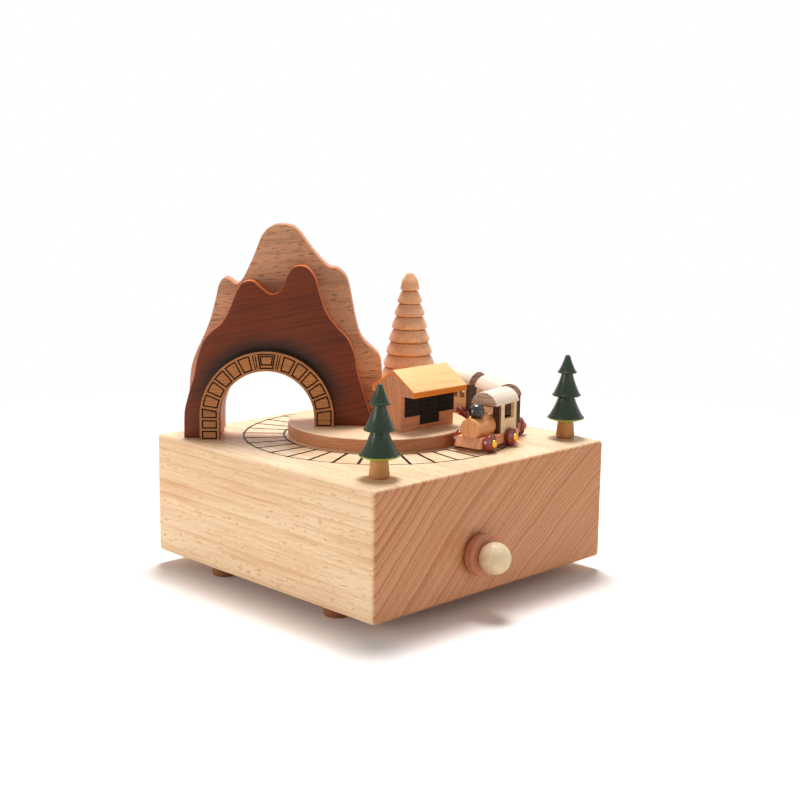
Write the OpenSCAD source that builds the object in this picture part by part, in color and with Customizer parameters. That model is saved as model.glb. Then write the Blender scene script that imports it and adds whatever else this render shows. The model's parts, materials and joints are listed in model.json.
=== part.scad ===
// Wooden music box with a spring driven train, millimetres, +Z up.
// The origin is on the ground, under the middle of the whole box with its knob.
// The knob side is +X, and the tunnel stands near -X -Y.

/* [Case] */
// Width of the case along X
case_w = 115; // [112:1:130]
// Depth of the case along Y
case_d = 115; // [112:1:130]
// Height of the case
case_h = 43.5; // [43:0.5:50]
// Radius of the rounded case edges
case_round = 2; // [1:0.25:2.5]
// Thickness of the four side walls
wall_t = 6; // [5:0.25:6.5]
// Thickness of the top
top_t = 6; // [5.5:0.25:7]
// Size of the corner posts inside the case
post_w = 12; // [10:0.5:13]
// Thickness of the bottom cover
cover_t = 4; // [3.5:0.25:4.5]
// Width of the rebate that takes the bottom cover
rebate_w = 2; // [1.5:0.25:3]
// Height of the feet
foot_h = 5; // [3:0.5:8]
// Radius of the feet
foot_r = 4.5; // [3:0.5:6]
// Distance of the feet's middles from the left and right sides of the case
foot_side_x = 27.5; // [20:0.5:37]
// Distance of the feet's middles from the near and far sides of the case
foot_side_y = 9.5; // [8:0.5:17]

/* [Track and platform] */
// Middle of the track along X
track_x = -4; // [-5:0.5:0]
// Free room for the carrier's arms beside the far wall
arm_room = 2.1; // [2:0.1:3]
// Radius of the outer burnt line
rail_out_r = 49; // [48:0.5:50]
// Radius of the inner burnt line
rail_in_r = 34.5; // [34:0.5:36]
// Number of burnt ties
tie_count = 35; // [16:1:40]
// Angle of the first tie
tie_start = 10; // [0:0.5:20]
// Width of a burnt tie
tie_w = 1.1; // [0.7:0.1:1.6]
// How far a tie stands past each line
tie_over = 0.8; // [0:0.1:1.5]
// Width of a burnt ring
line_w = 0.8; // [0.5:0.1:1.5]
// Depth of a burnt line
line_depth = 0.3; // [0.1:0.1:0.6]
// Radius of the round platform
platform_r = 33; // [32:0.1:33]
// Thickness of the platform
platform_t = 5.3; // [4:0.1:7]
// Radius of the platform's rounded rim
platform_round = 1; // [0.5:0.1:1.5]

/* [Tunnel and mountain] */
// Distance from the track's middle to the arch's middle, along the tunnel front
tunnel_side = 39.5; // [39:0.5:40]
// Distance from the track's middle to the front face of the arch
tunnel_front = 14.5; // [13.5:0.5:15]
// Inner radius of the arch
arch_in_r = 16.9; // [16.5:0.1:17.2]
// Width of the band of stones
arch_band = 7; // [5:0.5:8]
// Height of the arch's round centre above the case top
arch_rise = 8.3; // [7:0.1:10]
// Thickness of the arch
arch_t = 3; // [2:0.5:4]
// Width of the burnt line round a stone
joint_w = 0.5; // [0.3:0.1:0.8]
// Depth of the burnt line round a stone
joint_depth = 0.4; // [0.2:0.1:0.8]
// Plain gap between the lines of two stones
stone_gap = 0.8; // [0.4:0.1:1.2]
// Plain rim inside and outside the band of stones
stone_rim = 0.8; // [0.5:0.1:1.2]
// Angle that one stone covers
stone_deg = 13.3; // [12:0.1:14.5]
// Half of the angle of the keystone with its two narrow stones
key_deg = 14.5; // [12:0.5:17]
// Thickness of the dark front mountain board
front_board_t = 7.5; // [5:0.5:8]
// Thickness of the pale back mountain board
back_board_t = 8.5; // [6:0.5:9]

/* [House] */
// Distance of the ridge from the track's middle along X
house_x = 17.4; // [17:0.1:18]
// Near end of the house from the track's middle along Y
house_y = -10; // [-11:0.5:-9]
// Length of the house
house_l = 27; // [25:0.5:28]
// Thickness of the house block
house_w = 8; // [7:0.5:9]
// Height of the ridge above the platform
ridge_h = 21.8; // [20:0.2:23]
// Reach of each roof slope from the ridge
roof_run = 10.5; // [9:0.1:10.8]
// Fall of the roof in degrees
roof_deg = 33; // [30:1:36]
// Thickness of the stained roof layer on the block
roof_skin = 0.6; // [0.4:0.1:1]
// Height of the upright edge of the eaves
eave_t = 2.1; // [1.5:0.1:3]
// Depth of the dark window inlay
window_depth = 0.8; // [0.4:0.1:1.5]
// Height of the window sill above the platform
sill_h = 5.2; // [4:0.1:6]
// Height of the door step above the platform
step_h = 1.6; // [1:0.1:3]
// Wall left between the window head and the underside of the eaves
head_gap = 0.3; // [0.2:0.1:2]
// Width of the door
door_w = 9.4; // [7:0.1:11]
// Solid wall left at the near end
jamb_w = 2.1; // [1.5:0.1:4]

/* [Trees] */
// Height of the green trees
tree_h = 30.5; // [28:0.5:36]
// Height of the bare trunk
trunk_h = 5.9; // [4:0.1:8]
// Radius of the trunk at its foot
trunk_r = 3.4; // [3:0.1:5]
// Radius of the trunk at its top
trunk_top_r = 2.9; // [2.5:0.1:4]
// Radius of the lowest green tier
tier_r = 6.8; // [6:0.1:7]
// Distance of the near tree from the case's right side
near_tree_side = 12.6; // [10.5:0.1:15.5]
// Distance of the near tree from the case's near side
near_tree_front = 14; // [9.5:0.5:17.5]
// Distance of the far tree from the case's right side
far_tree_side = 12.5; // [10.5:0.5:19.5]
// Distance of the far tree from the case's far side
far_tree_back = 7; // [7:0.5:10.5]
// Height of the natural turned tree
beech_h = 52.2; // [45:0.5:58]
// Height of one tier of the turned tree
beech_step = 4.75; // [4:0.05:5]
// Radius of the highest tier of the turned tree
beech_top_r = 3.6; // [3:0.1:4]
// Growth of the radius from tier to tier
beech_grow = 1; // [0.8:0.05:1]
// Turned tree from the track's middle along X
beech_x = -5.4; // [-7:0.1:-4.5]
// Turned tree from the track's middle along Y
beech_y = 20.7; // [20.2:0.1:21.2]

/* [Train] */
// Gap between the platform and the locomotive's nails
loco_gap = 0.85; // [0.8:0.05:1.4]
// Direction of the locomotive seen from the track's middle
loco_az = 18.5; // [10:0.5:25]
// How far the locomotive's tail swings outwards
loco_skew = 9; // [7:0.5:10]
// Gap between the platform and the second car's nails
car_gap = 0.95; // [0.9:0.05:1.5]
// Radius of the wheels
wheel_r = 3.2; // [2.8:0.1:3.6]
// Thickness of a wheel at its rim
wheel_t = 1.9; // [1.5:0.1:2.5]
// Height of the dome on a wheel
wheel_dome = 0.7; // [0.3:0.1:1]
// Half of the wheelbase
axle_x = 7; // [6:0.1:8]
// Width of the wooden chassis blocks
chassis_w = 10; // [9:0.1:10.4]
// Height of the chassis underside above the case top
chassis_low = 1.6; // [1.2:0.1:2]
// Height of the chassis top above the case top
chassis_top = 5.2; // [4.6:0.1:5.6]
// Length of the locomotive's chassis in front of its middle
loco_nose = 10.6; // [10:0.1:12]
// Forward slant of the locomotive's front
loco_rake = 1.6; // [0:0.1:2]
// Length of the locomotive's chassis behind its middle
loco_tail = 14; // [13:0.1:15]
// Length of a car's chassis
car_l = 22; // [20:0.5:23]
// Radius of the boiler
boiler_r = 3.7; // [3.2:0.1:4]
// Depth of the flat that the boiler stands on
boiler_flat = 1; // [0.5:0.1:1.5]
// Radius of the black ball on the boiler
ball_r = 2.8; // [2.2:0.1:3]
// Radius of the small wooden dome
dome_r = 2.2; // [1.6:0.1:2.4]
// Width of the cab and of the car bodies
body_w = 10; // [9:0.1:10.2]
// Height of the eaves above the case top
eave_h = 15.2; // [14:0.1:16]
// Height of the roof above the eaves
vault_h = 4.6; // [4:0.1:5]
// Width of the roofs
roof_w = 10.8; // [10:0.1:11.4]
// Thickness of the side panels and end walls
panel_t = 1.2; // [0.8:0.1:1.6]
// Length of the cab's roof
cab_roof_l = 15.4; // [14.5:0.1:15.6]
// Height of the window sills above the case top
car_sill_h = 9.9; // [9:0.1:11]
// Radius of a nail shank
nail_r = 0.75; // [0.6:0.05:0.9]
// Radius of a brass nail head
nail_head_r = 1.5; // [1.2:0.1:1.8]
// Radius of a coupling eye, to the middle of its wire
eye_r = 1.3; // [1.1:0.1:1.5]
// Radius of the coupling wire
wire_r = 0.35; // [0.25:0.05:0.4]

/* [Knob] */
// Height of the winding arbor above the case's underside
arbor_z = 14.5; // [14.4:0.1:15]
// Radius of the winding arbor
arbor_r = 1.6; // [1.4:0.1:1.8]
// Radius of the knob's disc
knob_disc_r = 7.2; // [6:0.1:9]
// Thickness of the knob's disc
knob_disc_t = 3.6; // [3:0.1:5]
// Radius of the knob's ball
knob_ball_r = 5.4; // [5:0.1:6]
// Depth of the ball's seat in the disc
knob_sink = 1.5; // [0.8:0.1:2]
// Depth of the flat at the ball's outer end
knob_flat = 0.6; // [0:0.1:1]

/* [Movement] */
// Tooth size of the driving gears
gear_m = 1; // [0.98:0.01:1]
// Teeth on the main wheel
main_teeth = 19; // [19]
// Teeth on the drum wheel
drum_teeth = 13; // [13]
// Teeth on the governor's pinion
gov_teeth = 8; // [8]
// Teeth on the output pinion
out_teeth = 13; // [13]
// Teeth on the carrier's face gear
face_teeth = 40; // [40]
// Thickness of the driving gears
gear_t = 2; // [1.5:0.1:2.2]
// Radius of the drum
drum_r = 6.5; // [6:0.1:6.6]
// Free room between the output pinion and the drum
drum_gap = 2.8; // [1:0.1:3.5]
// Height of the drum's pins
pin_h = 0.6; // [0.4:0.1:0.7]
// Number of comb teeth
tine_count = 18; // [18]
// Length of the comb's teeth
tine_l = 14; // [12:0.5:14]
// Thickness of the comb's teeth
tine_t = 0.9; // [0.6:0.1:1.2]
// Radius of the spring barrel
barrel_r = 8.4; // [8:0.1:8.4]
// Length of the spring barrel
barrel_l = 7.5; // [7:0.1:7.8]
// Free room between the spring barrel and the wall behind the knob
barrel_gap = 1.4; // [0.8:0.1:2]
// Turns of the mainspring
spring_turns = 6; // [4:1:7]
// Thickness of the mainspring's strip
spring_t = 0.35; // [0.2:0.05:0.4]
// Thickness of the movement's base plate
plate_t = 2; // [1.8:0.1:2.2]
// Thickness of the movement's upright plates
upright_t = 1.5; // [1.2:0.1:1.6]
// Thickness of the carrier
carrier_t = 2.5; // [2:0.1:2.6]
// Height of the toothed ring under the carrier, without its teeth
ring_h = 2.3; // [1.8:0.1:2.8]
// Radius of the magnets
magnet_r = 3; // [2.5:0.1:3.5]
// Thickness of the magnets
magnet_t = 2.4; // [2:0.1:2.4]
// Length of the screws
screw_l = 8; // [7.5:0.1:8.5]
// Radius of the screws
screw_r = 1.2; // [1:0.1:1.4]

/* [Fits] */
// Gap between a turning shaft and its bearing
run_gap = 0.05; // [0.03:0.01:0.08]
// Gap round a glued or screwed piece in its seat
seat_gap = 0.02; // [0.01:0.01:0.05]
// Gap between pieces that pass each other
free_gap = 0.3; // [0.25:0.05:0.35]
// Gap under a wheel that rolls
roll_gap = 0.05; // [0.03:0.01:0.1]

/* [Hidden] */
$fn = 64;

// Heights of the case
ceiling_z = case_h - top_t;
deck_z = case_h + platform_t;
half_w = case_w / 2;
half_d = case_d / 2;
cavity_x = half_w - wall_t;
cavity_y = half_d - wall_t;
wood_edge = 1.5;
foot_x = half_w - foot_side_x;
foot_y = half_d - foot_side_y;

// Knob: its outer end sets the middle of the whole box
knob_x = half_w + 2 * free_gap;
ball_mid_x = knob_x + knob_disc_t - knob_sink + knob_ball_r;
knob_end = ball_mid_x + knob_ball_r - knob_flat;
middle_x = (knob_end - half_w) / 2;

// Screws: heads sink flush, and each stands at a place of its own
head_r = 2 * screw_r + 0.3;
head_h_screw = head_r - screw_r;
post_x = cavity_x - post_w / 2 + 0.6;
post_y = cavity_y - post_w / 2 + 0.6;

// Train: how far a vehicle reaches to each side, and where that puts the track's middle
nail_lift = 0.15;
nail_head_t = 0.8;
wheel_y = chassis_w / 2 + free_gap;
wheel_out = wheel_t + wheel_dome;
vehicle_half = wheel_y + wheel_out + nail_lift + nail_head_t;
loco_r = platform_r + loco_gap + vehicle_half;
car_two_r = platform_r + car_gap + vehicle_half;
arm_edge = 0.7;
track_y = cavity_y - (loco_r + magnet_r + arm_edge) - arm_room;

// Stations along the drum: from the knob's wall inwards, and from the face gear outwards
face_r = gear_m * face_teeth / 2;
out_x = track_x + face_r;
out_w = 2.4;
barrel_x = cavity_x - barrel_gap - barrel_l;
upright_x = barrel_x - upright_t;
gear_x = upright_x - 0.9 - gear_t;
drum_x1 = gear_x - 1.2;
drum_x0 = out_x + out_w / 2 + drum_gap;
drum_l = drum_x1 - drum_x0;
inner_upright_x = out_x - out_w / 2 - 2.6;

// The carrier hangs under the case top
magnet_top = ceiling_z - 0.8;
carrier_z1 = magnet_top - 0.6;
carrier_z0 = carrier_z1 - carrier_t;
face_z = carrier_z0 - ring_h;

// Gear centres: the drum lies on the carrier's axis plane, with its pinion under the face gear
main_r = gear_m * main_teeth / 2;
drum_gear_r = gear_m * drum_teeth / 2;
gov_r = gear_m * gov_teeth / 2;
out_r = gear_m * out_teeth / 2;
addendum = 0.7;
dedendum = 1.1;
drum_y = track_y;
drum_z = face_z - free_gap - addendum - out_r;
arbor_y = drum_y - sqrt(pow(main_r + drum_gear_r, 2) - pow(drum_z - arbor_z, 2));
gov_y = arbor_y - (main_r + gov_r) * cos(21);
gov_z = arbor_z + (main_r + gov_r) * sin(21);
gov_shaft_r = 0.8;
worm_teeth = 20;
worm_starts = 2;
worm_m = 0.5;
worm_wheel_r = worm_m * worm_teeth / 2;
worm_r = 1.8;
worm_y = gov_y - worm_wheel_r - worm_r;
worm_x = gear_x - 5.2;
worm_len = 6;
fly_shaft_r = 0.7;
drum_shaft_r = 1.5;
plate_z = cover_t;
plate_top = cover_t + plate_t;
plate_y = cavity_y - post_w - 0.8;
face_tip_z = drum_z + out_r - 0.75;
pivot_r = 2;
pivot_head_r = 4;
pivot_head_t = 1.2;
hub_r = 6;

// Places along the train
pitch_r = wheel_r + roll_gap;
eye_z = 3.4;
front_eye = eye_r + 0.4;
rear_eye = eye_r + 1.5;
reach_loco = loco_tail + rear_eye;
reach_nose = car_l / 2 + front_eye + eye_r;
reach_back = car_l / 2 + rear_eye;
hitch_one = pow(loco_r + reach_loco * sin(loco_skew), 2) + pow(reach_loco * cos(loco_skew), 2);
hitch_two = pow(car_two_r, 2) + pow(reach_nose, 2);
car_one_r = sqrt((reach_back * hitch_one + reach_nose * hitch_two) / (reach_nose + reach_back)
    - reach_nose * reach_back);
lean_sine = (hitch_one - pow(car_one_r, 2) - pow(reach_nose, 2)) / (2 * car_one_r * reach_nose);
car_one_skew = asin(lean_sine);
function swing(r, d, lean) = atan(d * cos(lean) / (r + d * sin(lean)));
car_one_az = loco_az + swing(loco_r, reach_loco, loco_skew) + swing(car_one_r, reach_nose, car_one_skew);
car_two_az = car_one_az + swing(car_one_r, reach_back, -car_one_skew) + swing(car_two_r, reach_nose, 0);

// Outline points of the mountains: distance from the arch's middle, height above the case top
front_outline = [
    [-30, 0], [-29.8, 9], [-29, 13], [-27.6, 18], [-26.1, 23], [-25, 28.7], [-22.9, 34.8], [-19.7, 38.8],
    [-16.4, 41.4], [-13.6, 46], [-10.8, 53], [-8.6, 56.1], [-5.2, 56.8], [-2.4, 54.6], [1.5, 52.1],
    [4.8, 53.8], [7.3, 59.2], [9.6, 61.9], [13.4, 62.1], [16.6, 58.8], [18.6, 52.2], [20.8, 46],
    [24.5, 41], [28.4, 36.8], [31, 31], [32, 25], [34.6, 16], [38, platform_t]
];
back_outline = [
    [-29, 0], [-29, 14], [-28.4, 23], [-26.8, 29], [-23.4, 36.4], [-21, 42.5], [-19, 50], [-18, 54.3],
    [-16.3, 56.9], [-14.3, 56.4], [-11.7, 54.9], [-9.3, 57], [-5.7, 64.3], [-2.4, 72.3], [1, 75.6],
    [5.4, 76.2], [9.8, 74.5], [15.2, 67.5], [20.6, 61.8], [24.4, 60.8], [27.6, 57.4], [29.2, 51],
    [30.9, 42.3], [33.2, 35.8], [38.2, 30.8], [40.1, 27], [40.5, 19], [40.5, platform_t]
];
curve_steps = 4;

// Colours
beech = "#E6BE92";
beech_end = "#C08A5F";
maple = "#E3C79C";
walnut = "#5A3A22";
redwood = "#6B3520";
oak = "#B98563";
black_ball = "#15171A";
green_paint = "#2B4A2E";
wheel_red = "#5A1A1A";
brass_yellow = "#D9A441";
steel = "#B9BCC0";
zinc = "#8E9196";

// A smooth curve through points, one span at a time
function span_point(a, b, c, d, t) =
    0.5 * ((2 * b) + (c - a) * t + (2 * a - 5 * b + 4 * c - d) * t * t
    + (3 * b - a - 3 * c + d) * t * t * t);
function smooth_line(p, steps) = [
    for (i = [0 : len(p) - 2]) for (k = [0 : steps - 1])
        span_point(p[max(i - 1, 0)], p[i], p[i + 1], p[min(i + 2, len(p) - 1)], k / steps),
    p[len(p) - 1]
];

// Quarter round points for a turned profile
function corner(cx, cz, r, a0, a1, n = 6) =
    [for (i = [0 : n]) let (a = a0 + (a1 - a0) * i / n) [cx + r * cos(a), cz + r * sin(a)]];

// Everything is drawn from the middle of the case's underside, so this moves it to the origin
module on_feet() {
    translate([-middle_x, 0, foot_h])
        children();
}

module along_x(x0, x1, y, z, r) {
    translate([x0, y, z])
        rotate([0, 90, 0])
            cylinder(h = x1 - x0, r = r);
}

// Puts a flat shape drawn in the YZ plane at x, pushed along +X
module facing_x(x, y, z) {
    translate([x, y, z])
        rotate([90, 0, 90])
            children();
}

// A round disc whose rim is rounded on both faces, lying on z = 0
module soft_disc(r, t, round) {
    rotate_extrude($fn = 96)
        polygon(concat(
            [[0, 0]],
            corner(r - round, round, round, -90, 0),
            corner(r - round, t - round, round, 0, 90),
            [[0, t]]
        ));
}

// Flat toothed wheel with a tooth centred at the angle first
module gear_shape(teeth, first) {
    pitch = gear_m * teeth / 2;
    step = 360 / teeth;
    polygon([
        for (i = [0 : teeth - 1])
            for (q = [[-0.31, -dedendum], [-0.1, addendum], [0.1, addendum], [0.31, -dedendum]])
                (pitch + q[1] * gear_m)
                * [cos(first + (i + q[0]) * step), sin(first + (i + q[0]) * step)]
    ]);
}

module on_track(az, r, lean) {
    translate([track_x, track_y, case_h])
        rotate([0, 0, az])
            translate([r, 0, 0])
                rotate([0, 0, -90 - lean])
                    children();
}

// In the tunnel's own plane: X runs along its front, Y is up, and +Z comes out of the front
module in_tunnel(depth) {
    translate([track_x, track_y, case_h])
        rotate([0, 0, 45])
            translate([-tunnel_side, -tunnel_front + depth, 0])
                rotate([90, 0, 0])
                    children();
}

module screw(length) {
    cylinder(h = head_h_screw, r1 = head_r, r2 = screw_r, $fn = 32);
    translate([0, 0, head_h_screw])
        cylinder(h = length - head_h_screw, r = screw_r, $fn = 32);
}

module screw_hole(length) {
    cylinder(h = head_h_screw, r1 = head_r + seat_gap, r2 = screw_r + seat_gap, $fn = 32);
    cylinder(h = length + free_gap, r = screw_r + seat_gap, $fn = 32);
}

function cover_screw_places() = [for (sx = [-1, 1]) for (sy = [-1, 1]) [sx * post_x, sy * post_y, 0]];
boss_r = 3;
near_screw_y = -plate_y + boss_r + 1.7;
far_screw_y = plate_y - boss_r - 0.3;
frame_screws = [
    [inner_upright_x + 4, near_screw_y, 0],
    [upright_x - 1, near_screw_y, 0],
    [upright_x - 9, far_screw_y, 0]
];
comb_base_t = 2.2;
comb_tip_y = drum_y + drum_r + pin_h + free_gap;
comb_base_y = comb_tip_y + tine_l;
comb_base_w = 7;
comb_z = drum_z - tine_t / 2;
comb_screws = [
    [drum_x0 + 3, comb_base_y + comb_base_w / 2, comb_z + comb_base_t],
    [drum_x1 - 3, comb_base_y + comb_base_w / 2, comb_z + comb_base_t]
];

// Case
module case_corner() {
    rotate_extrude($fn = 32)
        polygon(concat(
            [[0, 0]],
            corner(case_round - wood_edge, wood_edge, wood_edge, -90, 0),
            corner(case_round - wood_edge, case_h - wood_edge, wood_edge, 0, 90),
            [[0, case_h]]
        ));
}

module track_lines() {
    for (r = [rail_in_r, rail_out_r])
        difference() {
            cylinder(h = 2 * line_depth, r = r + line_w / 2, center = true, $fn = 128);
            cylinder(h = 4 * line_depth, r = r - line_w / 2, center = true, $fn = 128);
        }
    for (i = [0 : tie_count - 1])
        rotate([0, 0, tie_start + i * 360 / tie_count])
            translate([rail_in_r - tie_over, -tie_w / 2, -line_depth])
                cube([rail_out_r - rail_in_r + 2 * tie_over, tie_w, 2 * line_depth]);
}

module case_block() {
    color(beech)
    on_feet()
    difference() {
        hull()
            for (sx = [-1, 1])
                for (sy = [-1, 1])
                    translate([sx * (half_w - case_round), sy * (half_d - case_round), 0])
                        case_corner();
        difference() {
            translate([-cavity_x, -cavity_y, -1])
                cube([2 * cavity_x, 2 * cavity_y, ceiling_z + 1]);
            for (sx = [-1, 1])
                for (sy = [-1, 1])
                    translate([sx * (cavity_x - post_w / 2), sy * (cavity_y - post_w / 2), ceiling_z / 2])
                        cube([post_w + 0.01, post_w + 0.01, ceiling_z + 4], center = true);
        }
        translate([-cavity_x - rebate_w, -cavity_y - rebate_w, -1])
            cube([2 * (cavity_x + rebate_w), 2 * (cavity_y + rebate_w), cover_t + 1]);
        for (p = cover_screw_places())
            translate(p)
                screw_hole(screw_l);
        along_x(cavity_x - 1, half_w + 1, arbor_y, arbor_z, arbor_r + free_gap);
        translate([track_x, track_y, ceiling_z - 1])
            cylinder(h = top_t - 0.5, r = pivot_r + seat_gap);
        translate([track_x, track_y, case_h])
            track_lines();
    }
}

module bottom_cover() {
    side_x = cavity_x + rebate_w - seat_gap * 5;
    side_y = cavity_y + rebate_w - seat_gap * 5;
    color(oak)
    on_feet()
    difference() {
        translate([-side_x, -side_y, 0])
            cube([2 * side_x, 2 * side_y, cover_t]);
        for (p = concat(cover_screw_places(), frame_screws))
            translate(p)
                screw_hole(screw_l);
    }
}

module screws() {
    color(steel)
    on_feet() {
        for (p = concat(cover_screw_places(), frame_screws))
            translate(p)
                screw(screw_l);
        for (p = comb_screws)
            translate(p)
                mirror([0, 0, 1])
                    screw(screw_l);
    }
}

module feet() {
    color(beech_end)
    on_feet()
    for (sx = [-1, 1])
        for (sy = [-1, 1])
            translate([sx * foot_x, sy * foot_y, -foot_h])
                soft_disc(foot_r, foot_h, 0.8);
}

module platform() {
    color(beech)
    on_feet()
    translate([track_x, track_y, case_h])
        soft_disc(platform_r, platform_t, platform_round);
}

// Tunnel and mountains
module tunnel_gap() {
    translate([-arch_in_r, -2])
        square([2 * arch_in_r, arch_rise + 2]);
    translate([0, arch_rise])
        circle(r = arch_in_r, $fn = 96);
}

// Everything below the ground on which the mountain stands: the case top, and the platform beside it
module ground() {
    reach = case_w + case_d;
    translate([-reach, -reach])
        square([2 * reach, reach]);
    translate([0, -reach])
        square([reach, reach + platform_t]);
}

module mountain(outline, depth, thick) {
    in_tunnel(depth + thick)
        linear_extrude(height = thick)
            difference() {
                polygon(smooth_line(outline, curve_steps));
                tunnel_gap();
                ground();
            }
}

module mountain_front() {
    color(redwood)
    on_feet()
        mountain(front_outline, arch_t, front_board_t);
}

module mountain_back() {
    color(oak)
    on_feet()
        mountain(back_outline, arch_t + front_board_t, back_board_t);
}

// Stones of the arch. Each is drawn by the line burnt round it, at a distance inset from its joints
stones_in_r = arch_in_r + stone_rim - stone_gap / 2;
stones_out_r = arch_in_r + arch_band - stone_rim + stone_gap / 2;
stones_a_side = 5;
spring_deg = 90 - key_deg - stones_a_side * stone_deg;

function arc_stone(in_r, out_r, a0, a1, inset, n = 4) = [
    for (e = [[out_r - inset, 1], [in_r + inset, -1]])
        for (i = [0 : n])
            let (
                trim = asin(inset / e[0]),
                t = e[1] > 0 ? i / n : 1 - i / n,
                a = a0 + trim + (a1 - a0 - 2 * trim) * t
            )
            e[0] * [sin(a), cos(a)]
];

function leg_stone(z0, in_z1, out_z1, inset) = [
    [stones_in_r + inset, z0 + inset], [stones_out_r - inset, z0 + inset],
    [stones_out_r - inset, out_z1 - inset], [stones_in_r + inset, in_z1 - inset]
];

module arc_line(in_r, out_r, a0, a1) {
    difference() {
        polygon(arc_stone(in_r, out_r, a0, a1, stone_gap / 2));
        polygon(arc_stone(in_r, out_r, a0, a1, stone_gap / 2 + joint_w));
    }
}

module leg_line(z0, in_z1, out_z1) {
    difference() {
        polygon(leg_stone(z0, in_z1, out_z1, stone_gap / 2));
        polygon(leg_stone(z0, in_z1, out_z1, stone_gap / 2 + joint_w));
    }
}

module stone_lines() {
    in_top = arch_rise + stones_in_r * sin(spring_deg);
    out_top = arch_rise + stones_out_r * sin(spring_deg);
    leg_h = (in_top + out_top) / 6;
    stone_h = stones_out_r - stones_in_r;
    translate([0, arch_rise]) {
        for (side = [0, 1])
            mirror([side, 0, 0]) {
                for (k = [0 : stones_a_side - 1])
                    let (a0 = key_deg + k * stone_deg)
                        arc_line(stones_in_r, stones_out_r, a0, a0 + stone_deg);
                for (a = [key_deg * 0.71, key_deg * 0.86])
                    rotate([0, 0, a])
                        translate([-joint_w * 0.35, stones_in_r + stone_gap / 2])
                            square([joint_w * 0.7, stone_h - stone_gap]);
            }
        arc_line(stones_in_r, stones_out_r, -key_deg * 0.62, key_deg * 0.62);
        arc_line(stones_in_r + stone_h * 0.2, stones_out_r - stone_gap * 0.9, -key_deg * 0.5, key_deg * 0.5);
    }
    mirror([1, 0, 0]) {
        leg_line(0, leg_h, leg_h);
        leg_line(leg_h, 2 * leg_h, 2 * leg_h);
        leg_line(2 * leg_h, in_top, out_top);
    }
    leg_line(platform_t, in_top, out_top);
}

module tunnel_arch() {
    out_r_arch = arch_in_r + arch_band;
    color("#B4703F")
    on_feet()
    in_tunnel(arch_t)
        difference() {
            linear_extrude(height = arch_t)
                difference() {
                    union() {
                        translate([-out_r_arch, 0])
                            square([2 * out_r_arch, arch_rise]);
                        translate([0, arch_rise])
                            circle(r = out_r_arch, $fn = 96);
                    }
                    tunnel_gap();
                    ground();
                }
            translate([0, 0, arch_t - joint_depth])
                linear_extrude(height = 2 * joint_depth)
                    stone_lines();
        }
}

// House: profiles are drawn across the ridge and pushed along +Y
module across_house(y0, length) {
    translate([track_x + house_x, track_y + y0, deck_z])
        rotate([90, 0, 0])
            mirror([0, 0, 1])
                linear_extrude(height = length)
                    children();
}

// The block carries its own eaves. The roof is a thin layer that laps over their ends.
eave_z = ridge_h - roof_run * tan(roof_deg) - eave_t;
block_run = roof_run - roof_skin;
block_ridge = ridge_h - roof_skin / cos(roof_deg);
block_eave = block_ridge - block_run * tan(roof_deg);

module house_block_shape() {
    polygon([
        [-house_w / 2, 0], [house_w / 2, 0], [house_w / 2, eave_z], [block_run, eave_z],
        [block_run, block_eave], [0, block_ridge], [-block_run, block_eave],
        [-block_run, eave_z], [-house_w / 2, eave_z]
    ]);
}

module window_panel(deep, past) {
    near = track_y + house_y + jamb_w;
    far = track_y + house_y + house_l;
    wall_x = track_x + house_x + house_w / 2;
    door_y = near + (far - near - door_w) / 2;
    translate([wall_x - window_depth, 0, deck_z]) {
        translate([0, near, sill_h])
            cube([deep, far - near + past, eave_z - head_gap - sill_h]);
        translate([0, door_y, step_h])
            cube([deep, door_w, eave_z - head_gap - step_h]);
    }
}

module house_body() {
    color("#D19470")
    on_feet()
    difference() {
        across_house(house_y, house_l)
            house_block_shape();
        window_panel(window_depth + 1, 1);
    }
}

module house_windows() {
    color("#15130F")
    on_feet()
        window_panel(window_depth, 0);
}

module house_roof() {
    drop = roof_run * tan(roof_deg);
    color("#E8A24A")
    on_feet()
    across_house(house_y, house_l)
        polygon([
            [0, ridge_h], [roof_run, ridge_h - drop], [roof_run, eave_z], [block_run, eave_z],
            [block_run, block_eave], [0, block_ridge], [-block_run, block_eave],
            [-block_run, eave_z], [-roof_run, eave_z], [-roof_run, ridge_h - drop]
        ]);
}

// Trees
module place_green_trees() {
    near = [half_w - near_tree_side, -half_d + near_tree_front, case_h];
    far = [half_w - far_tree_side, half_d - far_tree_back, case_h];
    for (p = [near, far])
        translate(p)
            children();
}

// Side of a turned tier, from its top to its rounded rim: a cone that flares, or a blunt bell
rim_round = 0.35;
function flare(r0, z0, r1, z1, n = 6) = concat(
    [for (i = [0 : n]) let (t = i / n, swell = 0.65 * t + 0.35 * t * t)
        [r0 + (r1 - rim_round - r0) * swell, z0 + (z1 - z0) * t]],
    corner(r1 - rim_round, z1 - rim_round, rim_round, 60, -60, 3)
);
function bell(r0, z0, r1, z1, n = 5) =
    [for (i = [0 : n]) let (t = i / n) [r0 + (r1 - r0) * sin(90 * t), z0 + (z1 - z0) * t]];

module canopy() {
    crown = tree_h - trunk_h;
    rotate_extrude()
        polygon(concat(
            [[0, tree_h], [0.55, tree_h - 0.1]],
            flare(0.95, tree_h - 0.5, tier_r * 0.52, tree_h - crown * 0.24),
            [[tier_r * 0.3, tree_h - crown * 0.275]],
            flare(tier_r * 0.31, tree_h - crown * 0.29, tier_r * 0.77, tree_h - crown * 0.58),
            [[tier_r * 0.44, tree_h - crown * 0.625]],
            flare(tier_r * 0.45, tree_h - crown * 0.64, tier_r, tree_h - crown * 0.92),
            [[trunk_top_r, trunk_h], [0, trunk_h]]
        ));
}

module tree_canopies() {
    color(green_paint)
    on_feet()
    place_green_trees()
        canopy();
}

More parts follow.
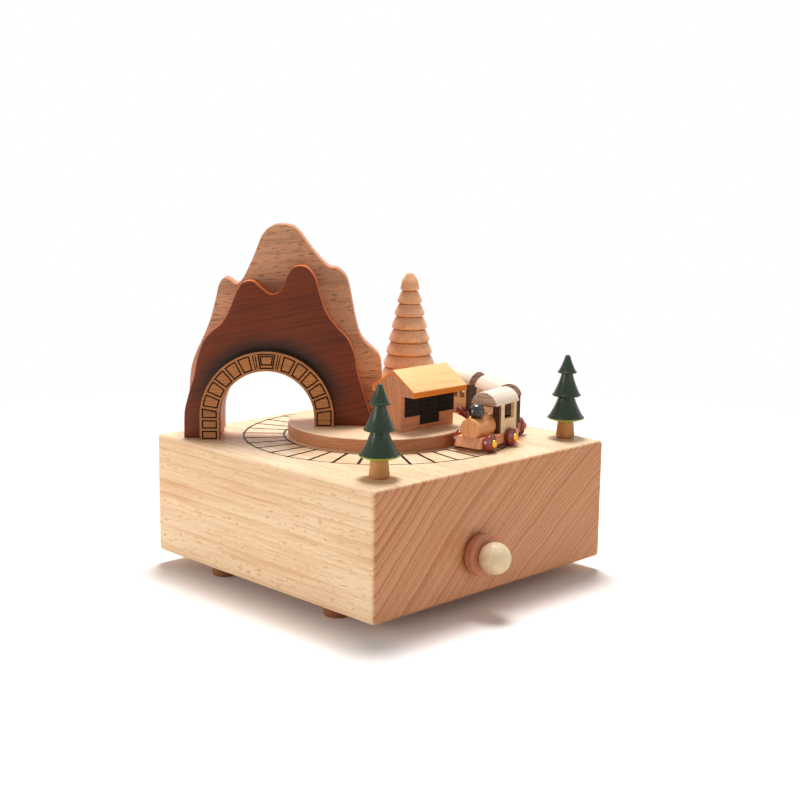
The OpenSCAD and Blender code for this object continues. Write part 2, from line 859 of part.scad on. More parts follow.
module tree_trunks() {
    color(beech)
    on_feet()
    place_green_trees()
        rotate_extrude()
            polygon([
                [0, 0], [trunk_r - 0.7, 0], [trunk_r - 0.2, 0.4], [trunk_r, 1],
                [trunk_top_r, trunk_h], [0, trunk_h]
            ]);
}

module beech_tree() {
    tiers = floor((beech_h - beech_step) / beech_step) - 1;
    groove_z = beech_h - 1.4 * beech_step;
    foot = groove_z - (tiers - 1) * beech_step;
    color("#DBA27C")
    on_feet()
    translate([track_x + beech_x, track_y + beech_y, deck_z])
        rotate_extrude()
            polygon(concat(
                [[0, beech_h], [1, beech_h - 0.05]],
                bell(1.3, beech_h - 0.2, beech_top_r - 0.3, groove_z + beech_step * 0.5),
                [for (i = [0 : tiers - 1])
                    let (r = beech_top_r + beech_grow * i, z = groove_z - i * beech_step)
                    each [
                        if (i > 0) [r - 1.5, z + beech_step * 0.94],
                        if (i > 0) [r - 0.75, z + beech_step * 0.66],
                        [r - 0.2, z + beech_step * 0.4],
                        [r, z + beech_step * 0.26],
                        [r - 0.1, z + beech_step * 0.13],
                        [r - 0.5, z + beech_step * 0.04],
                        [r - 1.2, z]
                    ]],
                [[5, foot - 0.6], [5.4, 0], [0, 0]]
            ));
}

// Movement
module movement_frame() {
    plate_x0 = inner_upright_x - 1.5;
    plate_x1 = barrel_x + barrel_l;
    boss_top = screw_l + free_gap + 0.6;
    fly_post_x = worm_x - 8;
    fly_post_y = worm_y - 2;
    fly_arm_t = 1.2;
    color(zinc)
    on_feet()
    difference() {
        union() {
            translate([plate_x0, -plate_y, plate_z])
                cube([plate_x1 - plate_x0, 2 * plate_y, plate_t]);
            for (p = frame_screws)
                translate([p[0], p[1], plate_z])
                    cylinder(h = boss_top - plate_z, r = boss_r);
            translate([upright_x, gov_y - 4, plate_top])
                cube([upright_t, drum_y + 5 - gov_y + 4, drum_z + 3.5 - plate_top]);
            translate([inner_upright_x, drum_y - 4, plate_top])
                cube([upright_t, 8, drum_z + 3.2 - plate_top]);
            translate([worm_x - 5, gov_y - 3, plate_top])
                cube([upright_t, 6, gov_z + 3 - plate_top]);
            translate([fly_post_x, fly_post_y, plate_top])
                cube([3, 4, face_z - plate_top]);
            translate([fly_post_x, fly_post_y, face_z - fly_arm_t])
                cube([10.5, 4, fly_arm_t]);
            translate([drum_x0 - 0.5, comb_base_y, plate_top])
                cube([drum_l + 1, comb_base_w, comb_z - plate_top]);
        }
        translate([gear_x - 0.4, arbor_y - main_r - 2, plate_z - 1])
            cube([gear_t + 0.8, 2 * main_r + 4, plate_t + 2]);
        along_x(upright_x - 1, upright_x + upright_t + 1, arbor_y, arbor_z, arbor_r + run_gap);
        along_x(inner_upright_x - 1, inner_upright_x + upright_t + 1, drum_y, drum_z, drum_shaft_r + run_gap);
        along_x(upright_x - 1, upright_x + upright_t + 1, drum_y, drum_z, drum_shaft_r + run_gap);
        along_x(worm_x - 6, worm_x, gov_y, gov_z, gov_shaft_r + run_gap);
        along_x(upright_x - 1, upright_x + upright_t + 1, gov_y, gov_z, gov_shaft_r + run_gap);
        translate([worm_x, worm_y, plate_z + 0.5])
            cylinder(h = plate_t, r = fly_shaft_r + run_gap);
        translate([worm_x, worm_y, face_z - 2])
            cylinder(h = 3, r = fly_shaft_r + run_gap);
        for (p = frame_screws)
            translate(p)
                screw_hole(screw_l);
        for (p = comb_screws)
            translate(p)
                mirror([0, 0, 1])
                    screw_hole(screw_l);
    }
}

module comb() {
    pitch = drum_l / tine_count;
    tine_w = pitch * 0.62;
    color(steel)
    on_feet()
    difference() {
        union() {
            translate([drum_x0, comb_base_y, comb_z])
                cube([drum_l, comb_base_w, comb_base_t]);
            for (i = [0 : tine_count - 1])
                translate([drum_x0 + (i + 0.5) * pitch - tine_w / 2, comb_tip_y, comb_z])
                    cube([tine_w, tine_l + 0.5, tine_t]);
        }
        for (p = comb_screws)
            translate(p)
                mirror([0, 0, 1])
                    screw_hole(screw_l);
    }
}

module spring_barrel() {
    shell = 0.8;
    color(steel)
    on_feet()
    difference() {
        along_x(barrel_x, barrel_x + barrel_l, arbor_y, arbor_z, barrel_r);
        along_x(barrel_x - 1, barrel_x + barrel_l - shell, arbor_y, arbor_z, barrel_r - shell);
        along_x(barrel_x, barrel_x + barrel_l + 1, arbor_y, arbor_z, arbor_r + run_gap);
    }
}

module mainspring() {
    inner = arbor_r + 0.6;
    outer = barrel_r - 0.8 - spring_t - 0.1;
    steps = 24;
    count = spring_turns * steps;
    edge = function(i, side)
        let (r = inner + (outer - inner) * i / count + side * spring_t, a = 360 * i / steps)
        [r * cos(a), r * sin(a)];
    color(steel)
    on_feet()
    facing_x(barrel_x + 0.6, arbor_y, arbor_z)
        linear_extrude(height = barrel_l - 2)
            polygon(concat(
                [for (i = [0 : count]) edge(i, 0)],
                [for (i = [count : -1 : 0]) edge(i, 1)]
            ));
}

module carrier_pivot() {
    shoulder_z = carrier_z1 + 0.2;
    head_z = face_z - 0.2 - pivot_head_t;
    color(steel)
    on_feet()
    translate([track_x, track_y, 0]) {
        translate([0, 0, head_z])
            cylinder(h = pivot_head_t, r = pivot_head_r);
        translate([0, 0, head_z])
            cylinder(h = ceiling_z + top_t - 1.8 - head_z, r = pivot_r);
        translate([0, 0, shoulder_z])
            cylinder(h = ceiling_z - shoulder_z, r = pivot_r + 1.5);
    }
}

// Knob and winding arbor
module knob_disc() {
    color("#C98868")
    on_feet()
    difference() {
        translate([knob_x, arbor_y, arbor_z])
            rotate([0, 90, 0])
                soft_disc(knob_disc_r, knob_disc_t, 0.9);
        along_x(knob_x - 1, knob_x + knob_disc_t + 1, arbor_y, arbor_z, arbor_r + seat_gap);
        translate([ball_mid_x, arbor_y, arbor_z])
            sphere(r = knob_ball_r + seat_gap);
    }
}

module knob_ball() {
    color("#F0DFB8")
    on_feet()
    difference() {
        translate([ball_mid_x, arbor_y, arbor_z])
            sphere(r = knob_ball_r);
        along_x(ball_mid_x - knob_ball_r - 1, ball_mid_x, arbor_y, arbor_z, arbor_r + seat_gap);
        along_x(knob_end, knob_end + knob_ball_r, arbor_y, arbor_z, knob_ball_r);
    }
}

module winding_arbor() {
    collar_x = gear_x - 1.4;
    color(steel)
    on_feet() {
        along_x(collar_x, knob_x + knob_disc_t + 2, arbor_y, arbor_z, arbor_r);
        along_x(collar_x, gear_x - run_gap * 4, arbor_y, arbor_z, arbor_r + 1.4);
    }
}

module spur_gear(teeth, x, y, z, first, bore) {
    facing_x(x, y, z)
        difference() {
            linear_extrude(height = gear_t)
                gear_shape(teeth, first);
            translate([0, 0, -1])
                cylinder(h = gear_t + 2, r = bore, $fn = 32);
        }
}

to_drum = atan2(drum_z - arbor_z, drum_y - arbor_y);
to_gov = atan2(gov_z - arbor_z, gov_y - arbor_y);

module main_wheel() {
    color(brass_yellow)
    on_feet()
    spur_gear(main_teeth, gear_x, arbor_y, arbor_z, to_drum, arbor_r + run_gap);
}

module drum_wheel() {
    color(brass_yellow)
    on_feet()
    spur_gear(drum_teeth, gear_x, drum_y, drum_z, to_drum + 180 + 180 / drum_teeth, drum_shaft_r + seat_gap);
}

module output_pinion() {
    color("#E9E4D6")
    on_feet()
    facing_x(out_x - out_w / 2, drum_y, drum_z)
        difference() {
            linear_extrude(height = out_w)
                gear_shape(out_teeth, 90);
            translate([0, 0, -1])
                cylinder(h = out_w + 2, r = drum_shaft_r + seat_gap, $fn = 32);
        }
}

module drum_barrel() {
    pins_each = 4;
    pitch = drum_l / tine_count;
    color(brass_yellow)
    on_feet()
    difference() {
        union() {
            along_x(drum_x0, drum_x1, drum_y, drum_z, drum_r);
            for (i = [0 : tine_count - 1])
                for (k = [0 : pins_each - 1])
                    translate([drum_x0 + (i + 0.5) * pitch, drum_y, drum_z])
                        rotate([(i * 137 + k * 90 + (i * k * 23) % 60) % 360, 0, 0])
                            translate([0, 0, drum_r - 0.4])
                                cylinder(h = pin_h + 0.4, r = 0.2, $fn = 16);
        }
        along_x(drum_x0 - 1, drum_x1 + 1, drum_y, drum_z, drum_shaft_r + seat_gap);
    }
}

module drum_arbor() {
    color(steel)
    on_feet()
    along_x(inner_upright_x - 0.3, upright_x + upright_t + 0.3, drum_y, drum_z, drum_shaft_r);
}

module governor_wheel() {
    mesh = atan2(arbor_z - gov_z, arbor_y - gov_y);
    step = 360 / worm_teeth;
    first = 180 + step / 2;
    wheel_w = 1.2;
    color(brass_yellow)
    on_feet() {
        facing_x(gear_x, gov_y, gov_z)
            linear_extrude(height = gear_t)
                gear_shape(gov_teeth, mesh + 180 / gov_teeth
                    + main_teeth / gov_teeth * ((to_gov - to_drum) % (360 / main_teeth)));
        along_x(worm_x - 5.2, upright_x + upright_t + 0.3, gov_y, gov_z, gov_shaft_r);
        facing_x(worm_x - wheel_w / 2, gov_y, gov_z)
            linear_extrude(height = wheel_w)
                polygon([
                    for (i = [0 : worm_teeth - 1])
                        for (q = [[-0.26, -0.55], [-0.12, 0.4], [0.12, 0.4], [0.26, -0.55]])
                            (worm_wheel_r + q[1])
                            * [cos(first + (i + q[0]) * step), sin(first + (i + q[0]) * step)]
                ]);
    }
}

module governor_fly() {
    lead = worm_starts * worm_m * PI;
    fly_z0 = gov_z + worm_len / 2 + 1.8;
    fly_z1 = face_z - 1.2 - 0.6;
    thread_half = 0.1 * 360 / worm_starts;
    start = 90 - 180 * worm_len / lead;
    tip_r = worm_r + 0.35;
    color(steel)
    on_feet()
    translate([worm_x, worm_y, 0]) {
        translate([0, 0, plate_z + 0.8])
            cylinder(h = face_z - 0.2 - plate_z - 0.8, r = fly_shaft_r, $fn = 32);
        translate([0, 0, gov_z - worm_len / 2])
            linear_extrude(height = worm_len, twist = -360 * worm_len / lead, slices = 48, $fn = 16)
                rotate([0, 0, start])
                    polygon([
                        [0.3, -0.5],
                        tip_r * [cos(thread_half), -sin(thread_half)],
                        tip_r * [cos(thread_half), sin(thread_half)],
                        [0.3, 0.5], [-0.3, 0.5],
                        -tip_r * [cos(thread_half), -sin(thread_half)],
                        -tip_r * [cos(thread_half), sin(thread_half)],
                        [-0.3, -0.5]
                    ]);
        translate([-4.2, -0.3, fly_z0])
            cube([8.4, 0.6, fly_z1 - fly_z0]);
    }
}

magnet_places = [[loco_r, loco_az], [car_two_r, car_two_az]];

module carrier_shape() {
    arm_w = 2 * (magnet_r + arm_edge);
    circle(r = face_r + 2, $fn = 96);
    for (m = magnet_places)
        rotate(m[1]) {
            translate([0, -arm_w / 2])
                square([m[0], arm_w]);
            translate([m[0], 0])
                circle(r = arm_w / 2);
        }
}

module magnet_carrier() {
    color("#D8D3C4")
    on_feet()
    translate([track_x, track_y, 0])
        difference() {
            union() {
                translate([0, 0, carrier_z0])
                    linear_extrude(height = carrier_t)
                        carrier_shape();
                translate([0, 0, face_z])
                    cylinder(h = carrier_z0 + 0.5 - face_z, r = hub_r);
                translate([0, 0, face_z])
                    linear_extrude(height = carrier_z0 + 0.5 - face_z)
                        difference() {
                            circle(r = face_r + 1.9, $fn = 96);
                            circle(r = face_r - 1.9, $fn = 96);
                        }
                for (i = [0 : face_teeth - 1])
                    rotate([0, 0, (i + 0.5) * 360 / face_teeth])
                        translate([face_r - 1.6, -0.5, face_tip_z])
                            cube([3.2, 1, face_z + 0.5 - face_tip_z]);
            }
            translate([0, 0, face_z - 1])
                cylinder(h = carrier_z1 - face_z + 2, r = pivot_r + run_gap);
            for (m = magnet_places)
                rotate([0, 0, m[1]])
                    translate([m[0], 0, magnet_top - magnet_t])
                        cylinder(h = magnet_t + 1, r = magnet_r + seat_gap);
        }
}

module carrier_magnets() {
    color(steel)
    on_feet()
    translate([track_x, track_y, 0])
        for (m = magnet_places)
            rotate([0, 0, m[1]])
                translate([m[0], 0, magnet_top - magnet_t])
                    cylinder(h = magnet_t, r = magnet_r);
}

// Train, drawn with +X forward and +Y outwards, standing on z = 0
keeper_t = 1.2;

module place_loco() {
    on_track(loco_az, loco_r, loco_skew)
        children();
}

module place_car(number) {
    on_track(number == 1 ? car_one_az : car_two_az,
             number == 1 ? car_one_r : car_two_r,
             number == 1 ? -car_one_skew : 0)
        children();
}

module axle_holes() {
    for (sx = [-1, 1])
        for (sy = [-1, 1])
            translate([sx * axle_x, sy * (chassis_w / 2 - 3), pitch_r])
                rotate([-90 * sy, 0, 0])
                    cylinder(h = 4, r = nail_r + seat_gap, $fn = 32);
}

module eye_hole(x, dir) {
    translate([x, 0, eye_z])
        rotate([0, -90 * dir, 0])
            cylinder(h = 2.5, r = wire_r + seat_gap, $fn = 24);
}

module keeper_pocket() {
    translate([0, 0, chassis_low - 1])
        cylinder(h = keeper_t + 1, r = magnet_r + seat_gap);
}

module keeper() {
    translate([0, 0, chassis_low])
        cylinder(h = keeper_t, r = magnet_r);
}

module side_profile(w) {
    rotate([90, 0, 0])
        translate([0, 0, -w / 2])
            linear_extrude(height = w)
                children();
}

module loco_chassis() {
    color("#B5805F")
    on_feet()
    place_loco()
        difference() {
            side_profile(chassis_w)
                polygon([
                    [-loco_tail, chassis_low], [loco_nose + loco_rake - 0.6, chassis_low],
                    [loco_nose + loco_rake, chassis_low + 0.6], [loco_nose, chassis_top],
                    [-loco_tail, chassis_top]
                ]);
            axle_holes();
            eye_hole(-loco_tail, -1);
            keeper_pocket();
        }
}

boiler_z = chassis_top + boiler_r - boiler_flat;
boiler_x0 = -0.6;
boiler_x1 = loco_nose + 0.2;
ball_x = 6.3;
dome_x = 1.9;

module loco_boiler() {
    color("#C98F5F")
    on_feet()
    place_loco()
        difference() {
            translate([boiler_x0, 0, boiler_z])
                rotate([0, 90, 0])
                    cylinder(h = boiler_x1 - boiler_x0, r = boiler_r);
            translate([boiler_x0 - 1, -boiler_r, chassis_top - boiler_r])
                cube([boiler_x1 - boiler_x0 + 2, 2 * boiler_r, boiler_r]);
            translate([ball_x, 0, boiler_z + boiler_r + ball_r - 0.9])
                sphere(r = ball_r + seat_gap);
            translate([dome_x, 0, boiler_z + boiler_r - 1])
                sphere(r = dome_r + seat_gap);
        }
}

module loco_chimney() {
    color(black_ball)
    on_feet()
    place_loco()
        translate([ball_x, 0, boiler_z + boiler_r + ball_r - 0.9])
            sphere(r = ball_r);
}

module loco_dome() {
    color("#D08A50")
    on_feet()
    place_loco()
        translate([dome_x, 0, boiler_z + boiler_r - 1])
            sphere(r = dome_r);
}

// Box with a floorless and roofless inside, from x0 to x1, standing on the chassis
module walls(x0, x1) {
    difference() {
        translate([x0, -body_w / 2, chassis_top])
            cube([x1 - x0, body_w, eave_h - chassis_top]);
        translate([x0 + panel_t, -body_w / 2 + panel_t, chassis_top - 1])
            cube([x1 - x0 - 2 * panel_t, body_w - 2 * panel_t, eave_h]);
    }
}

module vault(x0, x1) {
    vault_r = (roof_w * roof_w / 4 + vault_h * vault_h) / (2 * vault_h);
    intersection() {
        translate([x0, 0, eave_h + vault_h - vault_r])
            rotate([0, 90, 0])
                cylinder(h = x1 - x0, r = vault_r);
        translate([x0 - 1, -roof_w / 2, eave_h])
            cube([x1 - x0 + 2, roof_w, vault_h + 1]);
    }
}

cab_x1 = boiler_x0;
cab_x0 = -loco_tail + 0.6;

module loco_cab() {
    color(maple)
    on_feet()
    place_loco()
        difference() {
            walls(cab_x0, cab_x1);
            translate([cab_x0 + 3, -body_w, car_sill_h])
                cube([cab_x1 - cab_x0 - 6.6, 2 * body_w, eave_h]);
            translate([cab_x0 - 1, -body_w / 2 + 2.6, car_sill_h])
                cube([cab_x1 - cab_x0 + 2, body_w - 5.2, eave_h - car_sill_h - 0.8]);
        }
}

module loco_roof() {
    color("#F2D2B4")
    on_feet()
    place_loco()
        vault(cab_x1 + 2.4 - cab_roof_l, cab_x1 + 2.4);
}

module wheel() {
    difference() {
        rotate_extrude($fn = 48)
            polygon(concat(
                [[0, 0]],
                corner(wheel_r - 0.4, 0.4, 0.4, -90, 0, 3),
                corner(wheel_r - 0.5, wheel_t - 0.5, 0.5, 0, 70, 4),
                [[wheel_r * 0.6, wheel_out - 0.15], [wheel_r * 0.5, wheel_out], [0, wheel_out]]
            ));
        translate([0, 0, -1])
            cylinder(h = wheel_out + 2, r = nail_r + run_gap, $fn = 32);
    }
}

// Wheel number 1 to 4: front outer, rear outer, front inner, rear inner
module place_wheel(number) {
    sx = number % 2 == 1 ? 1 : -1;
    sy = number <= 2 ? 1 : -1;
    translate([sx * axle_x, sy * wheel_y, pitch_r])
        rotate([-90 * sy, 0, 0])
            children();
}

module loco_wheel(number) {
    color(wheel_red)
    on_feet()
    place_loco()
        place_wheel(number)
            wheel();
}

module car_wheel(car, number) {
    color(wheel_red)
    on_feet()
    place_car(car)
        place_wheel(number)
            wheel();
}

module nail() {
    shank_in = 2.8;
    head_z = wheel_out + nail_lift;
    translate([0, 0, -free_gap - shank_in])
        cylinder(h = head_z + free_gap + shank_in + 0.1, r = nail_r, $fn = 32);
    translate([0, 0, head_z])
        rotate_extrude($fn = 32)
            polygon(concat(
                [[0, 0], [nail_head_r, 0]],
                [for (i = [1 : 5]) [nail_head_r * cos(18 * i), nail_head_t * sin(18 * i)]]
            ));
}

module eye_ring(flat) {
    rotate([flat ? 0 : 90, 0, 0])
        rotate_extrude($fn = 32)
            translate([eye_r, 0])
                circle(r = wire_r, $fn = 16);
}

module coupling_eye(x, dir, flat) {
    out = flat ? rear_eye : front_eye;
    translate([x + dir * out, 0, eye_z])
        eye_ring(flat);
    translate([x - dir * 2, 0, eye_z])
        rotate([0, 90 * dir, 0])
            cylinder(h = 2 + out - eye_r, r = wire_r, $fn = 24);
}

module vehicle_nails() {
    for (n = [1 : 4])
        place_wheel(n)
            nail();
}

module loco_brass() {
    color(brass_yellow)
    on_feet()
    place_loco() {
        vehicle_nails();
        coupling_eye(-loco_tail, -1, true);
    }
}

module loco_magnet() {
    color(steel)
    on_feet()
    place_loco()
        keeper();
}

module car_chassis(number) {
    color("#B5805F")
    on_feet()
    place_car(number)
        difference() {
            translate([-car_l / 2, -chassis_w / 2, chassis_low])
                cube([car_l, chassis_w, chassis_top - chassis_low]);
            axle_holes();
            eye_hole(car_l / 2, 1);
            eye_hole(-car_l / 2, -1);
            if (number == 2)
                keeper_pocket();
        }
}

module car_body(number) {
    inset = 0.8;
    x0 = -car_l / 2 + inset;
    x1 = car_l / 2 - inset;
    window_count = 5;
    post = 1;
    open_l = (x1 - x0 - 2 * panel_t - (window_count + 1) * post) / window_count;
    color(maple)
    on_feet()
    place_car(number)
        difference() {
            walls(x0, x1);
            for (i = [0 : window_count - 1])
                translate([x0 + panel_t + post + i * (open_l + post), -body_w, car_sill_h])
                    cube([open_l, 2 * body_w, 4.2]);
        }
}

module car_roof(number) {
    color("#F2D2B4")
    on_feet()
    place_car(number)
        vault(-car_l / 2 + 0.3, car_l / 2 - 0.3);
}

module car_brass(number) {
    color(brass_yellow)
    on_feet()
    place_car(number) {
        vehicle_nails();
        coupling_eye(car_l / 2, 1, false);
        coupling_eye(-car_l / 2, -1, true);
    }
}

module car_two_magnet() {
    color(steel)
    on_feet()
    place_car(2)
        keeper();
}

case_block();
bottom_cover();
screws();
feet();
platform();
mountain_front();
mountain_back();
tunnel_arch();
house_body();
house_roof();
house_windows();
beech_tree();
tree_canopies();
tree_trunks();
movement_frame();
comb();
spring_barrel();
mainspring();
carrier_pivot();
knob_disc();
knob_ball();
winding_arbor();
main_wheel();
drum_barrel();
drum_arbor();
drum_wheel();
output_pinion();
governor_wheel();
governor_fly();
magnet_carrier();
carrier_magnets();
loco_chassis();
loco_boiler();
loco_dome();
loco_chimney();
loco_cab();
loco_roof();
loco_brass();
loco_magnet();
car_chassis(1);  // car_one_chassis
car_body(1);  // car_one_body
car_roof(1);  // car_one_roof
car_brass(1);  // car_one_brass
car_chassis(2);  // car_two_chassis
car_body(2);  // car_two_body
car_roof(2);  // car_two_roof
car_brass(2);  // car_two_brass
car_two_magnet();
loco_wheel(1);  // loco_wheel_1
loco_wheel(2);  // loco_wheel_2
loco_wheel(3);  // loco_wheel_3
loco_wheel(4);  // loco_wheel_4
car_wheel(1, 1);  // car_one_wheel_1
car_wheel(1, 2);  // car_one_wheel_2
car_wheel(1, 3);  // car_one_wheel_3
car_wheel(1, 4);  // car_one_wheel_4
car_wheel(2, 1);  // car_two_wheel_1
car_wheel(2, 2);  // car_two_wheel_2
car_wheel(2, 3);  // car_two_wheel_3
car_wheel(2, 4);  // car_two_wheel_4
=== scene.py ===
"""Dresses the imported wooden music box: turned, sawn and painted wood, brass, steel, and a plain stage."""

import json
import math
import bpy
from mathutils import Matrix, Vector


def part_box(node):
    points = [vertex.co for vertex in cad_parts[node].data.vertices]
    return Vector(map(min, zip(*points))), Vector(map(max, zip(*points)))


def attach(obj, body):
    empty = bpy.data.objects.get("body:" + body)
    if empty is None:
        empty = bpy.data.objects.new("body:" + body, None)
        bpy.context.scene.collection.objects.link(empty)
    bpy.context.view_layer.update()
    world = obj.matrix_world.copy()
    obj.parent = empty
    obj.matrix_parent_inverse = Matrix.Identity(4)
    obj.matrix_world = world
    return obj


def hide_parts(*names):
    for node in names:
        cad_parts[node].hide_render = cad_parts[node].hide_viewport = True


bl_info = {
    "name": "Wooden train music box",
    "version": (1, 0, 0),
    "blender": (4, 5, 0),
    "location": "View3D > Sidebar > Music box",
    "description": "Gives the packed music box its woods, paint, brass and a plain stage",
    "category": "Object",
}

import bmesh
import bpy
from bpy.props import FloatProperty, FloatVectorProperty, PointerProperty
from mathutils import Matrix, Vector

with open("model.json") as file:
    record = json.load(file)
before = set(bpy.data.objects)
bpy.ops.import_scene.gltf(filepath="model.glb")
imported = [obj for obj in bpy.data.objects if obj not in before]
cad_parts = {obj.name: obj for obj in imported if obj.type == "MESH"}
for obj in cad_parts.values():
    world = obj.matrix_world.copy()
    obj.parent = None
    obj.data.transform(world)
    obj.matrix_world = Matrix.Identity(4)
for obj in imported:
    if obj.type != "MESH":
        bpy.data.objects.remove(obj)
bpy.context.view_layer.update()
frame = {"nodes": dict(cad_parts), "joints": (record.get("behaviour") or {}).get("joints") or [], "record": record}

MM = 0.001
RECORD = frame["record"]
BODY_OF = {node: body for body, nodes in RECORD["behaviour"]["bodies"].items() for node in nodes}
JOINTS = {joint["name"]: joint for joint in frame["joints"]}
TRAIN = ("loco", "car_one", "car_two")
WHEELS = (1, 2, 3, 4)

# Up, what a place keeps when it is taken down to the ground, and the directions in which the mountain
# with its arch looks and runs
RISE = Vector((0, 0, 1))
ON_GROUND = Vector((1, 1, 0))
FRONT_WAY = Vector((1, -1, 0)).normalized()
SIDE_WAY = Vector((1, 1, 0)).normalized()

# A face looks along a direction when its normal's part along it is over the first, and stands edge on
# to it when that part is under the second
FACING, EDGE_ON = 0.9, 0.5


def reach(corners, way):
    """The lowest and highest place of some mesh corners along a direction."""
    along = [corner.co.dot(way) for corner in corners]
    return min(along), max(along)


# Case and track: the burnt lines lie inside TRACK_EDGE, between these depths under the case's top
CASE_LOW, CASE_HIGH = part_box("case_block")
CASE_TOP = CASE_HIGH.z
CASE_MIDDLE = (CASE_LOW + CASE_HIGH) / 2 * ON_GROUND
PLATFORM_LOW, PLATFORM_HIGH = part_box("platform")
TRACK = (PLATFORM_LOW + PLATFORM_HIGH) / 2 * ON_GROUND
TRACK_EDGE = 51.2 * MM
BURNT_FROM, BURNT_TO = 0.06 * MM, 1.5 * MM

# Upright faces of the platform that are further out than this are its rim
PLATFORM_RIM = (PLATFORM_HIGH.x - PLATFORM_LOW.x) / 2 * 0.9

# Arch: its front, its round's radius and middle, and how far and how dark the darkening over it reaches
ARCH = frame["nodes"]["tunnel_arch"].data.vertices
ARCH_FRONT = reach(ARCH, FRONT_WAY)[1]
ARCH_LEFT, ARCH_RIGHT = reach(ARCH, SIDE_WAY)
ARCH_RADIUS = (ARCH_RIGHT - ARCH_LEFT) / 2
ARCH_MIDDLE = SIDE_WAY * (ARCH_LEFT + ARCH_RIGHT) / 2 + RISE * (reach(ARCH, RISE)[1] - ARCH_RADIUS)
# The darkening over the arch is partly smoked wood and partly painted shade beside the arch's raised rim
SCORCH_AND_SHADE_OUT, SCORCH_AND_SHADE_UP, SCORCH_AND_SHADE_DARK = 8 * MM, 16 * MM, 0.9

# Burnt joints of the arch: their floors lie further back from its front than the first, and the middle
# of each of their walls less far than the second
JOINT_FLOOR, JOINT_WALL = 0.1 * MM, 0.5 * MM

# House: the windows start on the sill, with the door in their middle, and thin bars stand proud of them
WINDOW_SILL = PLATFORM_HIGH.z + 5.2 * MM
WINDOW_COLUMNS, WINDOW_ROWS = 13, 4
DOOR_HALF = 4.7 * MM
BAR, BAR_RISE = 0.3 * MM, 0.12 * MM

# Painted trees: the thin paint ends this far over the lowest rim, along an uneven line
GREEN_RIM, GREEN_FADE = 1.9 * MM, 0.3 * MM
GREEN_WAVE, GREEN_WAVE_SCALE = 0.6 * MM, 900

# Cab and cars: thickness of the walnut end walls
END_WALL = 1.2 * MM

# Corners closer than the first become one, a cut takes those within the second as lying on it, and the
# third is the play for comparing places
SAME_POINT, SAME_PLANE, HAIR = 0.002 * MM, 0.001 * MM, 0.01 * MM

# Degrees between two faces: below the first they become one, below the second their edge is shaded
# smooth, and above the third it is rounded
FLAT_BELOW, SMOOTH_BELOW, SHARP_FROM = (math.radians(angle) for angle in (0.6, 32, 35))

# How strongly a surface mirrors, where 0.5 is bare plastic, how rough a coat of lacquer on it is, and
# how much lacquer is on bare wood
SHEEN, COAT_ROUGHNESS, WOOD_COAT = 0.25, 0.12, 0.05

# Timber pattern: scales of the noise, and the share of the way along the fibre that counts in it, where
# a small share draws the marks out
DRIFT_SCALE, DRIFT_ALONG = 28, 0.25
FIBRE_SCALE, FIBRE_ALONG, FLECK_ALONG = 1500, 0.035, 0.22
CLOUD_SCALE, CLOUD_ALONG = 110, 0.15
SPECK_SCALE = 1700
UNEVEN_SCALE, UNEVEN_SHARE = 0.55, 2.2
RING_POWER = 2.4

# Long grain: where the noise turns into flecks, streaks and patches, how strong these are, how rough the
# pale wood is and how much rougher the dark, and how far the fibres stand out
FLECK_FROM, FLECK_FULL = 0.56, 0.72
STREAK_FROM, STREAK_STRENGTH = 0.45, 1.5
PATCH_FROM, PATCH_STRENGTH = 0.5, 1.1
PALE_ROUGH, DARK_ROUGHER = 0.42, 0.12
FIBRE_RELIEF, FIBRE_DEPTH = 0.12, 0.05 * MM

# End grain: how much a face has to cut the fibres, its lines' strength and shade, its specks, how much of
# the long grain's pale colour is between them, and a last thin wash that evens it out
END_FROM, END_FULL = 0.45, 0.85
END_LINES, END_SHADE = 2.0, (0.72, 0.62, 0.55, 1)
SPECK_FROM, SPECK_FULL, SPECK_STRENGTH = 0.42, 0.75, 0.4
END_PALE, END_WASH = 0.35, 0.15

# Paint: scale and depth of its lumps
LUMP_SCALE, LUMP_DEPTH = 500, 0.2 * MM

# Floor: half its side, its colour for the light that it gives back, how far from the middle the shadow
# is kept, and the paper's brightness there for whoever looks at it
FLOOR_HALF = 4.0
FLOOR_PALE = (0.95, 0.95, 0.95)
FLOOR_BOUNCE = (0.92, 0.84, 0.74, 1)
SHADOW_REACH = 0.2
SHADOW_PAPER = (1.08, 1.03, 1.0, 1)

# Lamps: place and side of each, and the point that all of them look at
KEY_PLACE, KEY_SIDE = (-0.19, 0.19, 0.87), 0.32
FILL_PLACE, FILL_SIDE = (-0.35, -0.95, 0.26), 0.5
LOW_PLACE, LOW_SIDE = (0.98, 0.2, 0.24), 0.5
LAMP_AIM = Vector((0, 0, 0.05))

# Camera solved from the photograph: place in metres, heading in degrees and focal length
EYE = CASE_MIDDLE + Vector((0.3659, -0.3529, 0.1570))
YAW, PITCH, ROLL = 44.76, 10.56, 0.74
FOCAL_PIXELS = 1431.6
PHOTO_PIXELS = 800
SENSOR = 36.0
NEAREST = 0.01


def tint(name, code, description):
    """A colour property from a six digit code, as a screen shows it."""
    value = [int(code[i : i + 2], 16) / 255 for i in (0, 2, 4)]
    return FloatVectorProperty(
        name=name, description=description, subtype="COLOR_GAMMA", size=3, min=0, max=1, default=value
    )


def rounding(name, value, description):
    """A length property, given in millimetres."""
    return FloatProperty(name=name, description=description, default=value * MM, subtype="DISTANCE", min=0)


def lamp_power(name, value, description):
    """A power property, given in watts."""
    return FloatProperty(
        name=name, description=description, default=value, subtype="POWER", unit="POWER", min=0
    )


